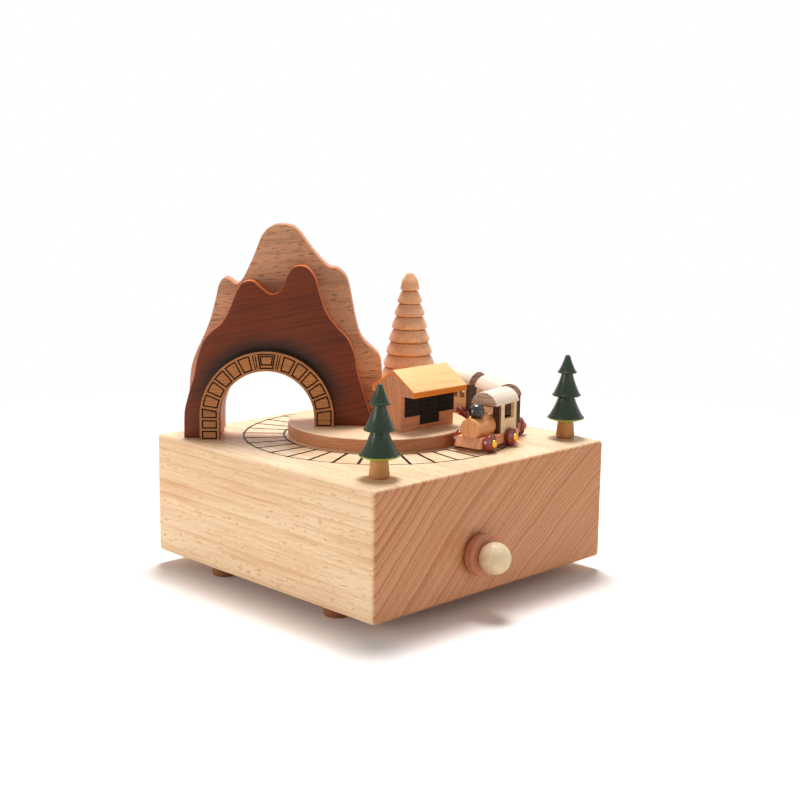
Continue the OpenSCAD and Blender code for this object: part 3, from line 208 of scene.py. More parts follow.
class BoxColours(bpy.types.PropertyGroup):
    """Colours of the woods, paints and metals."""

    beech_light: tint("Beech", "F9DBB6", "Pale beech of the case between its growth lines")
    beech_dark: tint("Beech line", "DDA573", "Growth lines and flecks of the case")
    beech_end: tint("Beech end", "D58855", "End grain of the case on the knob side")
    burnt: tint("Burnt line", "15100E", "Burnt lines of the track and the arch")
    platform_light: tint("Platform", "FCD6AE", "Top of the round platform")
    platform_dark: tint("Platform rim", "C4845A", "Rim of the round platform")
    mountain_dark: tint("Front mountain", "7A3516", "Face of the front mountain board")
    mountain_edge: tint("Front mountain edge", "D8703F", "Sawn edge of the front mountain board")
    oak: tint("Back mountain", "DCA27C", "Face of the back mountain board")
    oak_edge: tint("Back mountain edge", "D08252", "Sawn edge of the back mountain board")
    arch: tint("Arch", "BC7A46", "Face of the tunnel arch")
    # The charred colour also darkens the front board over the arch, partly as smoke and partly as painted shade
    charred: tint("Charred edge", "2A1D16", "Edges of the arch, burnt when it was cut")
    wall: tint("House wall", "DE9A72", "Walls of the house")
    roof: tint("Roof", "FFCF8C", "Upper faces of the house roof")
    roof_edge: tint("Roof edge", "F58C28", "Eaves of the house roof")
    window: tint("Window", "100C0A", "Dark inlay of the windows and the door")
    lattice: tint("Window bars", "2B1B12", "Bars of the windows and the door")
    turned: tint("Turned tree", "FFC498", "Natural turned tree")
    green: tint("Green paint", "172F0E", "Paint of the two small trees")
    green_rim: tint("Green rim", "9AAA3C", "Thin paint on the lowest rim of the small trees")
    trunk: tint("Trunk", "D3955C", "Trunks of the small trees")
    chassis: tint("Chassis", "FFB486", "Chassis blocks of the train")
    boiler: tint("Boiler", "FCB278", "Boiler of the locomotive")
    maple: tint("Maple", "FFDEB2", "Side panels of the cab and the cars")
    walnut: tint("Walnut", "5A3A24", "End walls of the cab and the cars")
    train_roof: tint("Train roof", "FFE8D4", "Roofs of the train")
    train_roof_end: tint("Train roof end", "A8775A", "End grain of the train roofs")
    wheel: tint("Wheel", "8A2A16", "Lacquer of the wheels")
    chimney: tint("Chimney ball", "0C0F12", "Black ball on the boiler")
    brass: tint("Brass", "E0A540", "Nails, couplings and toothed wheels")
    steel: tint("Steel", "B4B7BB", "Springs, comb, arbors and screws")
    zinc: tint("Frame metal", "8C9095", "Plates of the movement")
    resin: tint("Resin", "DDD6C4", "Carrier and output pinion")
    knob: tint("Knob", "FBE5BE", "Ball of the winding knob")
    knob_disc: tint("Knob disc", "D28C6C", "Disc under the winding knob")


class BoxSizes(bpy.types.PropertyGroup):
    """Roundings of the edges, and the strength of the lights."""

    board_edge: rounding("Board edge", 0.45, "Rounding of the mountain boards")
    house_edge: rounding("House edge", 0.3, "Rounding of the house and its roof")
    train_edge: rounding("Train edge", 0.35, "Rounding of the train's blocks")
    key_power: lamp_power("Key lamp", 9.0, "Power of the large soft lamp overhead")
    fill_power: lamp_power("Fill lamp", 3.5, "Power of the lamp on the long grain side")
    side_power: lamp_power("Side lamp", 0.9, "Power of the low lamp on the knob side")
    surround: FloatProperty(
        name="Surroundings", description="Strength of the light from all round", default=0.25, min=0
    )


def linear(value):
    """A screen colour as the shader's own sockets read it."""
    return [c / 12.92 if c <= 0.04045 else ((c + 0.055) / 1.055) ** 2.4 for c in value] + [1.0]


def toned(value, share):
    """A screen colour with each of its parts at a share of itself."""
    return [c * share for c in value]


# Shader building


def put(tree, kind, sockets=(), **settings):
    """Adds a shader node. Each socket is given a plain value or another node's output."""
    node = tree.nodes.new(kind)
    for key, value in settings.items():
        setattr(node, key, value)
    for key, value in dict(sockets).items():
        if isinstance(value, bpy.types.NodeSocket):
            tree.links.new(value, node.inputs[key])
        else:
            node.inputs[key].default_value = value
    return node


def maths(tree, operation, *values, clamp=False):
    """Reckons with numbers."""
    return put(tree, "ShaderNodeMath", enumerate(values), operation=operation, use_clamp=clamp).outputs[0]


def vectors(tree, operation, *values):
    """Reckons with places and directions."""
    node = put(tree, "ShaderNodeVectorMath", enumerate(values), operation=operation)
    return node.outputs["Value" if operation in ("DOT_PRODUCT", "LENGTH") else "Vector"]


def scaled(tree, vector, factor):
    """A direction made longer or shorter."""
    node = put(tree, "ShaderNodeVectorMath", {0: vector, "Scale": factor}, operation="SCALE")
    return node.outputs["Vector"]


def mixed(tree, factor, first, second, mode="MIX"):
    """Mixes two colours. The node takes colours at its sockets 6 and 7, and gives one at 2."""
    sockets = {0: factor, 6: first, 7: second}
    return put(tree, "ShaderNodeMix", sockets, data_type="RGBA", blend_type=mode).outputs[2]


def ranged(tree, value, low, high, to_low=0.0, to_high=1.0):
    """A soft step from to_low, where the value is low, to to_high, where it is high."""
    sockets = {"Value": value, "From Min": low, "From Max": high, "To Min": to_low, "To Max": to_high}
    return put(tree, "ShaderNodeMapRange", sockets, interpolation_type="SMOOTHSTEP").outputs["Result"]


def noise(tree, vector, scale, detail=2.0, rough=0.5):
    """A cloudy pattern from 0 to 1, with about as many waves per metre as the scale says."""
    sockets = {"Vector": vector, "Scale": scale, "Detail": detail, "Roughness": rough}
    return put(tree, "ShaderNodeTexNoise", sockets).outputs["Fac"]


def object_point(tree):
    """Place on the piece, in the part's frame."""
    return tree.nodes.new("ShaderNodeTexCoord").outputs["Object"]


def height_of(tree, vector):
    """A place's height."""
    return put(tree, "ShaderNodeSeparateXYZ", {0: vector}).outputs["Z"]


def drawn_out(tree, across, run, share):
    """A place in the wood with the way along the fibre cut to a share, so marks on it are long."""
    return vectors(tree, "ADD", across, scaled(tree, run, share))


def growth_rings(group, given, across, run):
    """0 to 1 across each growth line.

    A line is Spacing wide at the distance Depth from the pith, and its width changes with the power
    Widening of that distance. Wander bends the lines, and a noise makes them uneven.
    """
    out = vectors(group, "LENGTH", vectors(group, "SUBTRACT", across, given["Pith"]))
    winding = drawn_out(group, across, run, DRIFT_ALONG)
    drift = maths(group, "SUBTRACT", noise(group, winding, DRIFT_SCALE), 0.5)
    depth = maths(group, "ADD", out, maths(group, "MULTIPLY", drift, given["Wander"]))
    power = maths(group, "SUBTRACT", 1.0, given["Widening"])
    share = maths(group, "POWER", maths(group, "DIVIDE", depth, given["Depth"]), power)
    step = maths(group, "DIVIDE", maths(group, "MULTIPLY", share, given["Depth"]), given["Spacing"])
    step = maths(group, "DIVIDE", step, power)
    sockets = {"W": step, "Scale": UNEVEN_SCALE, "Detail": 1.0}
    uneven = put(group, "ShaderNodeTexNoise", sockets, noise_dimensions="1D").outputs["Fac"]
    step = maths(group, "ADD", step, maths(group, "MULTIPLY", uneven, UNEVEN_SHARE))
    return maths(group, "POWER", maths(group, "FRACT", step), RING_POWER)


def long_grain_tone(group, given, ring, fibre, across, run):
    """How dark the wood is on a face along its fibres: lines, streaks, patches and ray flecks."""
    dash = noise(group, drawn_out(group, across, run, FLECK_ALONG), FIBRE_SCALE, 1)
    cloud = noise(group, drawn_out(group, across, run, CLOUD_ALONG), CLOUD_SCALE)
    fleck = maths(group, "MULTIPLY", ranged(group, dash, FLECK_FROM, FLECK_FULL), given["Flecks"])
    lines = maths(group, "MULTIPLY", ring, given["Lines"])
    streaks = maths(group, "MULTIPLY", maths(group, "SUBTRACT", fibre, STREAK_FROM), STREAK_STRENGTH)
    patches = maths(group, "MULTIPLY", maths(group, "SUBTRACT", cloud, PATCH_FROM), PATCH_STRENGTH)
    tone = maths(group, "ADD", lines, streaks, clamp=True)
    tone = maths(group, "ADD", tone, patches, clamp=True)
    return maths(group, "MAXIMUM", tone, fleck)


def end_grain_colour(group, given, ring, point):
    """Colour of a face that cuts the fibres: strong growth lines and fine specks."""
    shade = mixed(group, 1.0, given["End"], END_SHADE, "MULTIPLY")
    bright = mixed(group, END_PALE, given["End"], given["Light"])
    strength = maths(group, "MULTIPLY", given["Lines"], END_LINES)
    lines = maths(group, "MULTIPLY", ring, strength, clamp=True)
    dots = ranged(group, noise(group, point, SPECK_SCALE), SPECK_FROM, SPECK_FULL)
    specks = maths(group, "MULTIPLY", dots, SPECK_STRENGTH)
    cut = mixed(group, maths(group, "ADD", lines, specks, clamp=True), bright, shade)
    return mixed(group, END_WASH, cut, given["End"])


def timber_group():
    """Growth lines, fibres and ray flecks round a pith line, and darker end grain where a face cuts it."""
    name = "timber_growth"
    if name in bpy.data.node_groups:
        return bpy.data.node_groups[name]
    group = bpy.data.node_groups.new(name, "ShaderNodeTree")
    inputs = {
        "Color": ("Light", "Dark", "End"),
        "Vector": ("Grain", "Pith"),
        "Float": ("Spacing", "Depth", "Widening", "Lines", "Flecks", "Wander"),
    }
    outputs = {"Color": ("Color",), "Float": ("Height", "Roughness")}
    for way, plan in (("INPUT", inputs), ("OUTPUT", outputs)):
        for kind, titles in plan.items():
            for title in titles:
                group.interface.new_socket(title, in_out=way, socket_type="NodeSocket" + kind)
    given = group.nodes.new("NodeGroupInput").outputs
    place = group.nodes.new("ShaderNodeTexCoord").outputs
    point, face = place["Object"], place["Normal"]
    run = scaled(group, given["Grain"], vectors(group, "DOT_PRODUCT", point, given["Grain"]))
    across = vectors(group, "SUBTRACT", point, run)
    ring = growth_rings(group, given, across, run)
    fibre = noise(group, drawn_out(group, across, run, FIBRE_ALONG), FIBRE_SCALE, 3, 0.6)
    tone = long_grain_tone(group, given, ring, fibre, across, run)
    long_grain = mixed(group, tone, given["Light"], given["Dark"])
    facing = maths(group, "ABSOLUTE", vectors(group, "DOT_PRODUCT", face, given["Grain"]))
    end = ranged(group, facing, END_FROM, END_FULL)
    end_grain = end_grain_colour(group, given, ring, point)
    given_out = group.nodes.new("NodeGroupOutput").inputs
    group.links.new(mixed(group, end, long_grain, end_grain), given_out["Color"])
    group.links.new(fibre, given_out["Height"])
    rough = maths(group, "MULTIPLY_ADD", tone, DARK_ROUGHER, PALE_ROUGH)
    group.links.new(rough, given_out["Roughness"])
    return group


def plain_material(name, colour, rough, metal=0.0, coat=0.0):
    """One colour all over."""
    material = bpy.data.materials.new(name)
    material.use_nodes = True
    shader = material.node_tree.nodes["Principled BSDF"]
    shader.inputs["Base Color"].default_value = linear(colour)
    shader.inputs["Roughness"].default_value = rough
    shader.inputs["Metallic"].default_value = metal
    shader.inputs["Coat Weight"].default_value = coat
    shader.inputs["Coat Roughness"].default_value = COAT_ROUGHNESS
    shader.inputs["Specular IOR Level"].default_value = SHEEN
    return material


def relief(material, height, strength, depth):
    """Lets a pattern stand out of the surface."""
    tree = material.node_tree
    bump = put(tree, "ShaderNodeBump", {"Height": height, "Strength": strength, "Distance": depth})
    tree.links.new(bump.outputs["Normal"], tree.nodes["Principled BSDF"].inputs["Normal"])


def stained(material, mask, stain):
    """Lays a second colour over a material's own where the mask is 1."""
    tree = material.node_tree
    base = tree.nodes["Principled BSDF"].inputs["Base Color"]
    own = base.links[0].from_socket if base.is_linked else list(base.default_value)
    tree.links.new(mixed(tree, mask, own, linear(stain)), base)


def timber(
    name, light, dark, end, grain=(1, 0, 0), pith=(0, 0, 0), spacing=2.2 * MM, depth=1.0, widening=0.0,
    lines=0.5, flecks=0.5, wander=3 * MM
):
    """A lacquered wood. Grain is the way the fibres run and pith a point on the tree's middle line.

    Its colour is light between the growth lines, dark on them, and end where a face cuts the fibres.
    """
    material = plain_material(name, light, 0.5, coat=WOOD_COAT)
    tree = material.node_tree
    grain = Vector(grain).normalized()
    pith = Vector(pith)
    growth = put(tree, "ShaderNodeGroup", node_tree=timber_group())
    values = {
        "Light": linear(light),
        "Dark": linear(dark),
        "End": linear(end),
        "Grain": grain,
        "Pith": pith - grain * pith.dot(grain),
        "Spacing": spacing,
        "Depth": depth,
        "Widening": widening,
        "Lines": lines,
        "Flecks": flecks,
        "Wander": wander,
    }
    for key, value in values.items():
        growth.inputs[key].default_value = value
    shader = tree.nodes["Principled BSDF"]
    tree.links.new(growth.outputs["Color"], shader.inputs["Base Color"])
    tree.links.new(growth.outputs["Roughness"], shader.inputs["Roughness"])
    relief(material, growth.outputs["Height"], FIBRE_RELIEF, FIBRE_DEPTH)
    return material


def paint(name, colour, rough, coat=0.0, lumps=0.0):
    """Brushed or dipped colour over turned wood."""
    material = plain_material(name, colour, rough, coat=coat)
    if lumps:
        tree = material.node_tree
        relief(material, noise(tree, object_point(tree), LUMP_SCALE, 3), lumps, LUMP_DEPTH)
    return material


# Mesh building


def merged_copy(node):
    """The node's mesh as one closed skin without the triangles inside its flat faces."""
    mesh = bmesh.new()
    mesh.from_mesh(frame["nodes"][node].data)
    bmesh.ops.remove_doubles(mesh, verts=mesh.verts, dist=SAME_POINT)
    bmesh.ops.dissolve_limit(
        mesh, angle_limit=FLAT_BELOW, verts=mesh.verts, edges=mesh.edges, use_dissolve_boundaries=False
    )
    return mesh


def mesh_data(name, mesh):
    """A finished bmesh as mesh data."""
    data = bpy.data.meshes.new(name)
    mesh.to_mesh(data)
    mesh.free()
    return data


def add_object(name, data):
    """A new object in the scene."""
    thing = bpy.data.objects.new(name, data)
    bpy.context.scene.collection.objects.link(thing)
    return thing


def piece(node, mesh, materials):
    """Puts a finished bmesh in the scene in a CAD node's place, riding where the node rides."""
    name = node + "_finish"
    data = mesh_data(name, mesh)
    data.shade_smooth()
    data.set_sharp_from_angle(angle=SMOOTH_BELOW)
    for material in materials:
        data.materials.append(material)
    thing = add_object(name, data)
    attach(thing, BODY_OF[node])
    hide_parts(node)


def softened(node, materials, radius, pick=None):
    """A copy of a CAD node with its sharp edges rounded. pick(face) gives a face's material number."""
    mesh = merged_copy(node)
    if pick:
        for face in mesh.faces:
            face.material_index = pick(face)
    sharp = [e for e in mesh.edges if len(e.link_faces) == 2 and e.calc_face_angle(0) > SHARP_FROM]
    bmesh.ops.bevel(
        mesh,
        geom=sharp,
        offset=radius,
        offset_type="OFFSET",
        affect="EDGES",
        segments=2,
        profile=0.5,
        material=-1,
        clamp_overlap=True,
    )
    piece(node, mesh, materials)


def dress(node, material):
    """Gives a CAD node that keeps its own mesh its finish."""
    slots = frame["nodes"][node].data.materials
    slots.clear()
    slots.append(material)


def vehicle_axes(name):
    """Middle, forward and outward directions of a vehicle, from its four wheel joints."""
    joints = [JOINTS["%s_wheel_%d_roll" % (name, number)] for number in WHEELS]
    middle = sum((Vector(joint["pos_m"]) for joint in joints), Vector()) / len(joints)
    outward = Vector(joints[0]["axis"]).normalized()
    forward = outward.cross(RISE)
    return Vector((middle.x, middle.y, CASE_TOP)), forward, outward


class MakePiece:
    """What the operators share. build gets the colours and the sizes of the scene's two groups."""

    bl_options = {"REGISTER", "UNDO"}

    def execute(self, context):
        self.build(context.scene.box_colours, context.scene.box_sizes)
        return {"FINISHED"}


class MUSICBOX_OT_case(MakePiece, bpy.types.Operator):
    """Case, bottom cover, feet and platform in beech, with the burnt track"""

    bl_idname = "musicbox.case"
    bl_label = "Case and platform"

    def build(self, hue, size):
        wood = timber(
            "beech case", hue.beech_light, hue.beech_dark, hue.beech_end,
            pith=(0, 0.212, -0.226), spacing=2.7 * MM, depth=0.37, widening=3.4,
            lines=0.42, flecks=0.75, wander=5 * MM,
        )
        stained(wood, self.track_mask(wood.node_tree), hue.burnt)
        dress("case_block", wood)
        dress("bottom_cover", timber("cover board", hue.oak, toned(hue.oak, 0.85), hue.oak, spacing=4 * MM))
        foot = hue.beech_end
        dress("feet", timber(
            "turned feet", toned(foot, 0.7), toned(foot, 0.6), toned(foot, 0.75), grain=RISE
        ))
        self.platform(hue)

    def track_mask(self, tree):
        """1 in the grooves of the track's rings and ties."""
        point = object_point(tree)
        flat = vectors(tree, "MULTIPLY", vectors(tree, "SUBTRACT", point, TRACK), ON_GROUND)
        near = maths(tree, "LESS_THAN", vectors(tree, "LENGTH", flat), TRACK_EDGE)
        level = height_of(tree, point)
        sunk = maths(tree, "LESS_THAN", level, CASE_TOP - BURNT_FROM)
        high = maths(tree, "GREATER_THAN", level, CASE_TOP - BURNT_TO)
        return maths(tree, "MULTIPLY", near, maths(tree, "MULTIPLY", sunk, high))

    def platform(self, hue):
        """Pale top and a darker rim."""
        top = timber(
            "beech platform", hue.platform_light, toned(hue.platform_light, 0.86), hue.platform_dark,
            grain=(1, 0.15, 0), pith=(0, 0.02, -0.09), spacing=3 * MM, lines=0.35, flecks=0.5,
        )
        rim = timber(
            "platform rim", hue.platform_dark, toned(hue.platform_dark, 0.8), toned(hue.platform_dark, 0.9),
            grain=(1, 0.15, 0), pith=(0, 0.02, -0.09), spacing=1.1 * MM, lines=0.5, flecks=0.6,
        )
        mesh = merged_copy("platform")
        for face in mesh.faces:
            out = (face.calc_center_median() * ON_GROUND - TRACK).length
            face.material_index = int(abs(face.normal.z) < EDGE_ON and out > PLATFORM_RIM)
        piece("platform", mesh, [top, rim])


class MUSICBOX_OT_tunnel(MakePiece, bpy.types.Operator):
    """Tunnel arch with burnt joints and the two mountain boards"""

    bl_idname = "musicbox.tunnel"
    bl_label = "Tunnel and mountain"

    def build(self, hue, size):
        dark = timber(
            "front mountain", hue.mountain_dark, toned(hue.mountain_dark, 0.6), toned(hue.mountain_dark, 0.8),
            grain=SIDE_WAY + RISE * 0.2, pith=SIDE_WAY * 0.02 - RISE * 0.16 - FRONT_WAY * 0.02,
            spacing=2 * MM, lines=0.45, flecks=0.35, wander=7 * MM,
        )
        # Darkens the front board over the arch in the charred colour: partly smoke on the wood, partly painted
        # shade beside the arch's rim
        stained(dark, self.scorch_and_shade_mask(dark.node_tree), hue.charred)
        sawn = hue.mountain_edge
        dark_edge = timber(
            "front mountain edge", sawn, toned(sawn, 0.75), toned(sawn, 0.9),
            grain=SIDE_WAY, spacing=1.4 * MM, lines=0.3, flecks=0.2,
        )
        softened("mountain_front", [dark, dark_edge], size.board_edge, self.board_part)
        pale = timber(
            "back mountain", hue.oak, toned(hue.oak, 0.68), toned(hue.oak, 0.85),
            grain=SIDE_WAY + RISE * 0.08, pith=RISE * 0.35 - FRONT_WAY * 0.05,
            spacing=2.6 * MM, lines=0.3, flecks=0.95, wander=6 * MM,
        )
        pale_edge = timber(
            "back mountain edge", hue.oak_edge, toned(hue.oak_edge, 0.8), hue.oak_edge,
            grain=SIDE_WAY, lines=0.3,
        )
        softened("mountain_back", [pale, pale_edge], size.board_edge, self.board_part)
        self.arch(hue)

    def board_part(self, face):
        """0 on a board's front and back, and 1 on its sawn edge."""
        return 0 if abs(face.normal.dot(FRONT_WAY)) > FACING else 1

    def scorch_and_shade_mask(self, tree):
        """Nearly 1 just above the arch, where the front board is partly smoked and partly in painted shade, and 0
        further out.
        """
        away = vectors(tree, "SUBTRACT", object_point(tree), ARCH_MIDDLE)
        flat = scaled(tree, FRONT_WAY, vectors(tree, "DOT_PRODUCT", away, FRONT_WAY))
        out = vectors(tree, "LENGTH", vectors(tree, "SUBTRACT", away, flat))
        ring = ranged(tree, out, ARCH_RADIUS, ARCH_RADIUS + SCORCH_AND_SHADE_OUT, 1, 0)
        above = ranged(tree, height_of(tree, away), 0, SCORCH_AND_SHADE_UP)
        return maths(tree, "MULTIPLY", maths(tree, "MULTIPLY", ring, above), SCORCH_AND_SHADE_DARK)

    def arch(self, hue):
        """Stone coloured face, burnt joints and charred edges."""
        stone = timber(
            "arch", hue.arch, toned(hue.arch, 0.72), toned(hue.arch, 0.7),
            grain=SIDE_WAY, pith=(0, 0, -0.1), spacing=1.6 * MM, lines=0.5, flecks=0.5,
        )
        burnt = paint("burnt joint", hue.burnt, 0.85)
        charred = paint("charred edge", hue.charred, 0.7)
        mesh = merged_copy("tunnel_arch")
        for face in mesh.faces:
            step = ARCH_FRONT - face.calc_center_median().dot(FRONT_WAY)
            facing = face.normal.dot(FRONT_WAY)
            if facing > FACING:
                face.material_index = 1 if step > JOINT_FLOOR else 0
            elif abs(facing) < EDGE_ON:
                face.material_index = 1 if step < JOINT_WALL else 2
        piece("tunnel_arch", mesh, [stone, burnt, charred])


class MUSICBOX_OT_house(MakePiece, bpy.types.Operator):
    """House block, roof and dark window inlay"""

    bl_idname = "musicbox.house"
    bl_label = "House"

    def build(self, hue, size):
        wall = timber(
            "house wall", hue.wall, toned(hue.wall, 0.82), toned(hue.wall, 0.88),
            grain=(0, 1, 0), pith=(0.1, 0, 0.09), spacing=1.8 * MM, lines=0.5, flecks=0.6,
        )
        softened("house_body", [wall], size.house_edge)
        upper = timber(
            "house roof", hue.roof, toned(hue.roof, 0.86), hue.roof_edge,
            grain=(0, 1, 0), pith=(0.03, 0, 0.12), spacing=1.5 * MM, lines=0.4, flecks=0.2,
        )
        edge = timber(
            "house eave", hue.roof_edge, toned(hue.roof_edge, 0.85), hue.roof_edge,
            grain=(0, 1, 0), flecks=0.2,
        )
        softened("house_roof", [upper, edge], size.house_edge / 2, self.roof_part)
        self.windows(hue)

    def roof_part(self, face):
        """0 on the roof's upper faces, and 1 on its edges and underside."""
        return 0 if face.normal.z > EDGE_ON else 1

    def windows(self, hue):
        """Dark inlay with bars that stand a little proud of it."""
        low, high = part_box("house_windows")
        sill, step = WINDOW_SILL, low.z
        door = (low.y + high.y) / 2
        mesh = merged_copy("house_windows")
        plain = len(mesh.faces)
        uprights = [(low.y + (high.y - low.y) * n / WINDOW_COLUMNS, sill) for n in range(WINDOW_COLUMNS + 1)]
        uprights += [(door + side * DOOR_HALF, step) for side in (-1, 1)]
        for y, bottom in uprights:
            self.bar(mesh, (y - BAR / 2, y + BAR / 2), (bottom, high.z), low, high)
        for n in range(WINDOW_ROWS + 1):
            z = sill + (high.z - sill) * n / WINDOW_ROWS
            self.bar(mesh, (low.y, high.y), (z - BAR / 2, z + BAR / 2), low, high)
        for z in (step, (step + sill) / 2):
            self.bar(mesh, (door - DOOR_HALF, door + DOOR_HALF), (z, z + BAR), low, high)
        mesh.faces.ensure_lookup_table()
        for face in mesh.faces[plain:]:
            face.material_index = 1
        dark = paint("window inlay", hue.window, 0.6)
        bars = paint("window bars", hue.lattice, 0.6)
        piece("house_windows", mesh, [dark, bars])

    def bar(self, mesh, span_y, span_z, low, high):
        """One bar on the face of the inlay, kept inside its outline."""
        y0, y1 = max(span_y[0], low.y), min(span_y[1], high.y)
        z0, z1 = max(span_z[0], low.z), min(span_z[1], high.z)
        thick = Matrix.Diagonal((2 * BAR_RISE, y1 - y0, z1 - z0)).to_4x4()
        place = Matrix.Translation((high.x, (y0 + y1) / 2, (z0 + z1) / 2))
        bmesh.ops.create_cube(mesh, size=1, matrix=place @ thick)


class MUSICBOX_OT_trees(MakePiece, bpy.types.Operator):
    """Natural turned tree and the two painted trees"""

    bl_idname = "musicbox.trees"
    bl_label = "Trees"

    def build(self, hue, size):
        low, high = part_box("beech_tree")
        middle = (low + high) / 2
        dress("beech_tree", timber(
            "turned tree", hue.turned, toned(hue.turned, 0.84), toned(hue.turned, 0.9),
            grain=RISE, pith=(middle.x - 0.016, middle.y + 0.01, 0), spacing=2.4 * MM,
            lines=0.4, flecks=0.5,
        ))
        green = paint("green paint", hue.green, 0.3, coat=0.3, lumps=0.9)
        stained(green, self.rim_mask(green.node_tree), hue.green_rim)
        dress("tree_canopies", green)
        dress("tree_trunks", timber(
            "trunk", hue.trunk, toned(hue.trunk, 0.85), hue.trunk, grain=RISE, spacing=1.5 * MM
        ))

    def rim_mask(self, tree):
        """1 on the lowest rim, up to an uneven line."""
        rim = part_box("tree_canopies")[0].z + GREEN_RIM
        point = object_point(tree)
        uneven = maths(tree, "MULTIPLY", noise(tree, point, GREEN_WAVE_SCALE), GREEN_WAVE)
        level = maths(tree, "ADD", height_of(tree, point), uneven)
        return ranged(tree, level, rim, rim + GREEN_FADE, 1, 0)


class MUSICBOX_OT_train(MakePiece, bpy.types.Operator):
    """Locomotive and cars: blocks, panels, roofs, chimney, brass and magnets"""

    bl_idname = "musicbox.train"
    bl_label = "Train"

    def build(self, hue, size):
        brass = plain_material("train brass", hue.brass, 0.22, metal=1.0)
        for name in TRAIN:
            self.vehicle(name, hue, size)
            dress(name + "_brass", brass)
        self.engine(hue)
        magnet = plain_material("nickel", hue.steel, 0.15, metal=1.0)
        for node in ("loco_magnet", "car_two_magnet", "carrier_magnets"):
            dress(node, magnet)

    def vehicle(self, name, hue, size):
        """Chassis, roof and walls, each with its fibres set by the way the vehicle stands."""
        middle, forward, outward = vehicle_axes(name)
        block = timber(
            name + " chassis wood", hue.chassis, toned(hue.chassis, 0.8), toned(hue.chassis, 0.85),
            grain=forward, pith=middle + outward * 0.02, spacing=1.3 * MM, lines=0.4, flecks=0.5,
        )
        softened(name + "_chassis", [block], size.train_edge)
        top = timber(
            name + " roof wood", hue.train_roof, toned(hue.train_roof, 0.88), hue.train_roof_end,
            grain=forward, pith=middle + RISE * 0.03, spacing=1.4 * MM, lines=0.4, flecks=0.5,
        )
        softened(name + "_roof", [top], size.train_edge)
        panel = timber(
            name + " maple", hue.maple, toned(hue.maple, 0.85), hue.maple,
            grain=forward, pith=middle - RISE * 0.04, spacing=1.2 * MM, lines=0.3, flecks=0.4,
        )
        end_wall = timber(
            name + " walnut", hue.walnut, toned(hue.walnut, 0.7), hue.walnut,
            grain=outward, pith=middle - RISE * 0.03, spacing=1.1 * MM, lines=0.5, flecks=0.3,
        )
        self.walls("loco_cab" if name == "loco" else name + "_body", [panel, end_wall], forward)

    def walls(self, node, materials, forward):
        """Side panels in maple between walnut end walls."""
        mesh = merged_copy(node)
        low, high = reach(mesh.verts, forward)
        for place in (low + END_WALL, high - END_WALL):
            bmesh.ops.bisect_plane(
                mesh,
                geom=mesh.verts[:] + mesh.edges[:] + mesh.faces[:],
                plane_co=forward * place,
                plane_no=forward,
                dist=SAME_PLANE,
            )
        deep = END_WALL + HAIR
        for face in mesh.faces:
            place = face.calc_center_median().dot(forward)
            face.material_index = int(place < low + deep or place > high - deep)
        piece(node, mesh, materials)

    def engine(self, hue):
        """Boiler, dome and chimney of the locomotive."""
        low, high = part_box("loco_boiler")
        forward, outward = vehicle_axes("loco")[1:]
        dress("loco_boiler", timber(
            "boiler wood", hue.boiler, toned(hue.boiler, 0.82), toned(hue.boiler, 0.9),
            grain=forward, pith=(low + high) / 2 + outward * 0.014, spacing=1.1 * MM,
            lines=0.5, flecks=0.4,
        ))
        dress("loco_dome", timber(
            "dome wood", toned(hue.boiler, 1.02), toned(hue.boiler, 0.85), hue.boiler, grain=RISE,
        ))
        dress("loco_chimney", paint("chimney lacquer", hue.chimney, 0.12, coat=0.9))


class MUSICBOX_OT_wheels(MakePiece, bpy.types.Operator):
    """Twelve lacquered wheels"""

    bl_idname = "musicbox.wheels"
    bl_label = "Wheels"

    def build(self, hue, size):
        lacquer = paint("wheel lacquer", hue.wheel, 0.16, coat=0.8)
        for name in TRAIN:
            for number in WHEELS:
                dress("%s_wheel_%d" % (name, number), lacquer)


class MUSICBOX_OT_knob(MakePiece, bpy.types.Operator):
    """Winding knob, its disc and arbor"""

    bl_idname = "musicbox.knob"
    bl_label = "Winding knob"

    def build(self, hue, size):
        dress("knob_disc", timber(
            "knob disc", hue.knob_disc, toned(hue.knob_disc, 0.84), hue.knob_disc,
            grain=(0, 1, 0.3), pith=(0, 0, 0.05), spacing=1.2 * MM, lines=0.4,
        ))
        dress("knob_ball", timber(
            "knob ball", hue.knob, toned(hue.knob, 0.86), toned(hue.knob, 0.94),
            grain=(0, 0.2, 1), pith=(0.08, 0, 0), spacing=0.9 * MM, lines=0.35, flecks=0.2,
        ))
        dress("winding_arbor", plain_material("arbor steel", hue.steel, 0.25, metal=1.0))


class MUSICBOX_OT_movement(MakePiece, bpy.types.Operator):
    """Spring movement, comb, drum, governor and magnet carrier inside the case"""

    bl_idname = "musicbox.movement"
    bl_label = "Movement"

    def build(self, hue, size):
        steel = plain_material("bright steel", hue.steel, 0.25, metal=1.0)
        brass = plain_material("turned brass", hue.brass, 0.3, metal=1.0)
        zinc = plain_material("frame metal", hue.zinc, 0.45, metal=1.0)
        resin = plain_material("resin", hue.resin, 0.4)
        finishes = (
            (steel, "screws comb spring_barrel mainspring carrier_pivot drum_arbor governor_fly"),
            (brass, "main_wheel drum_barrel drum_wheel governor_wheel"),
            (zinc, "movement_frame"),
            (resin, "magnet_carrier output_pinion"),
        )
        for material, nodes in finishes:
            for node in nodes.split():
                dress(node, material)


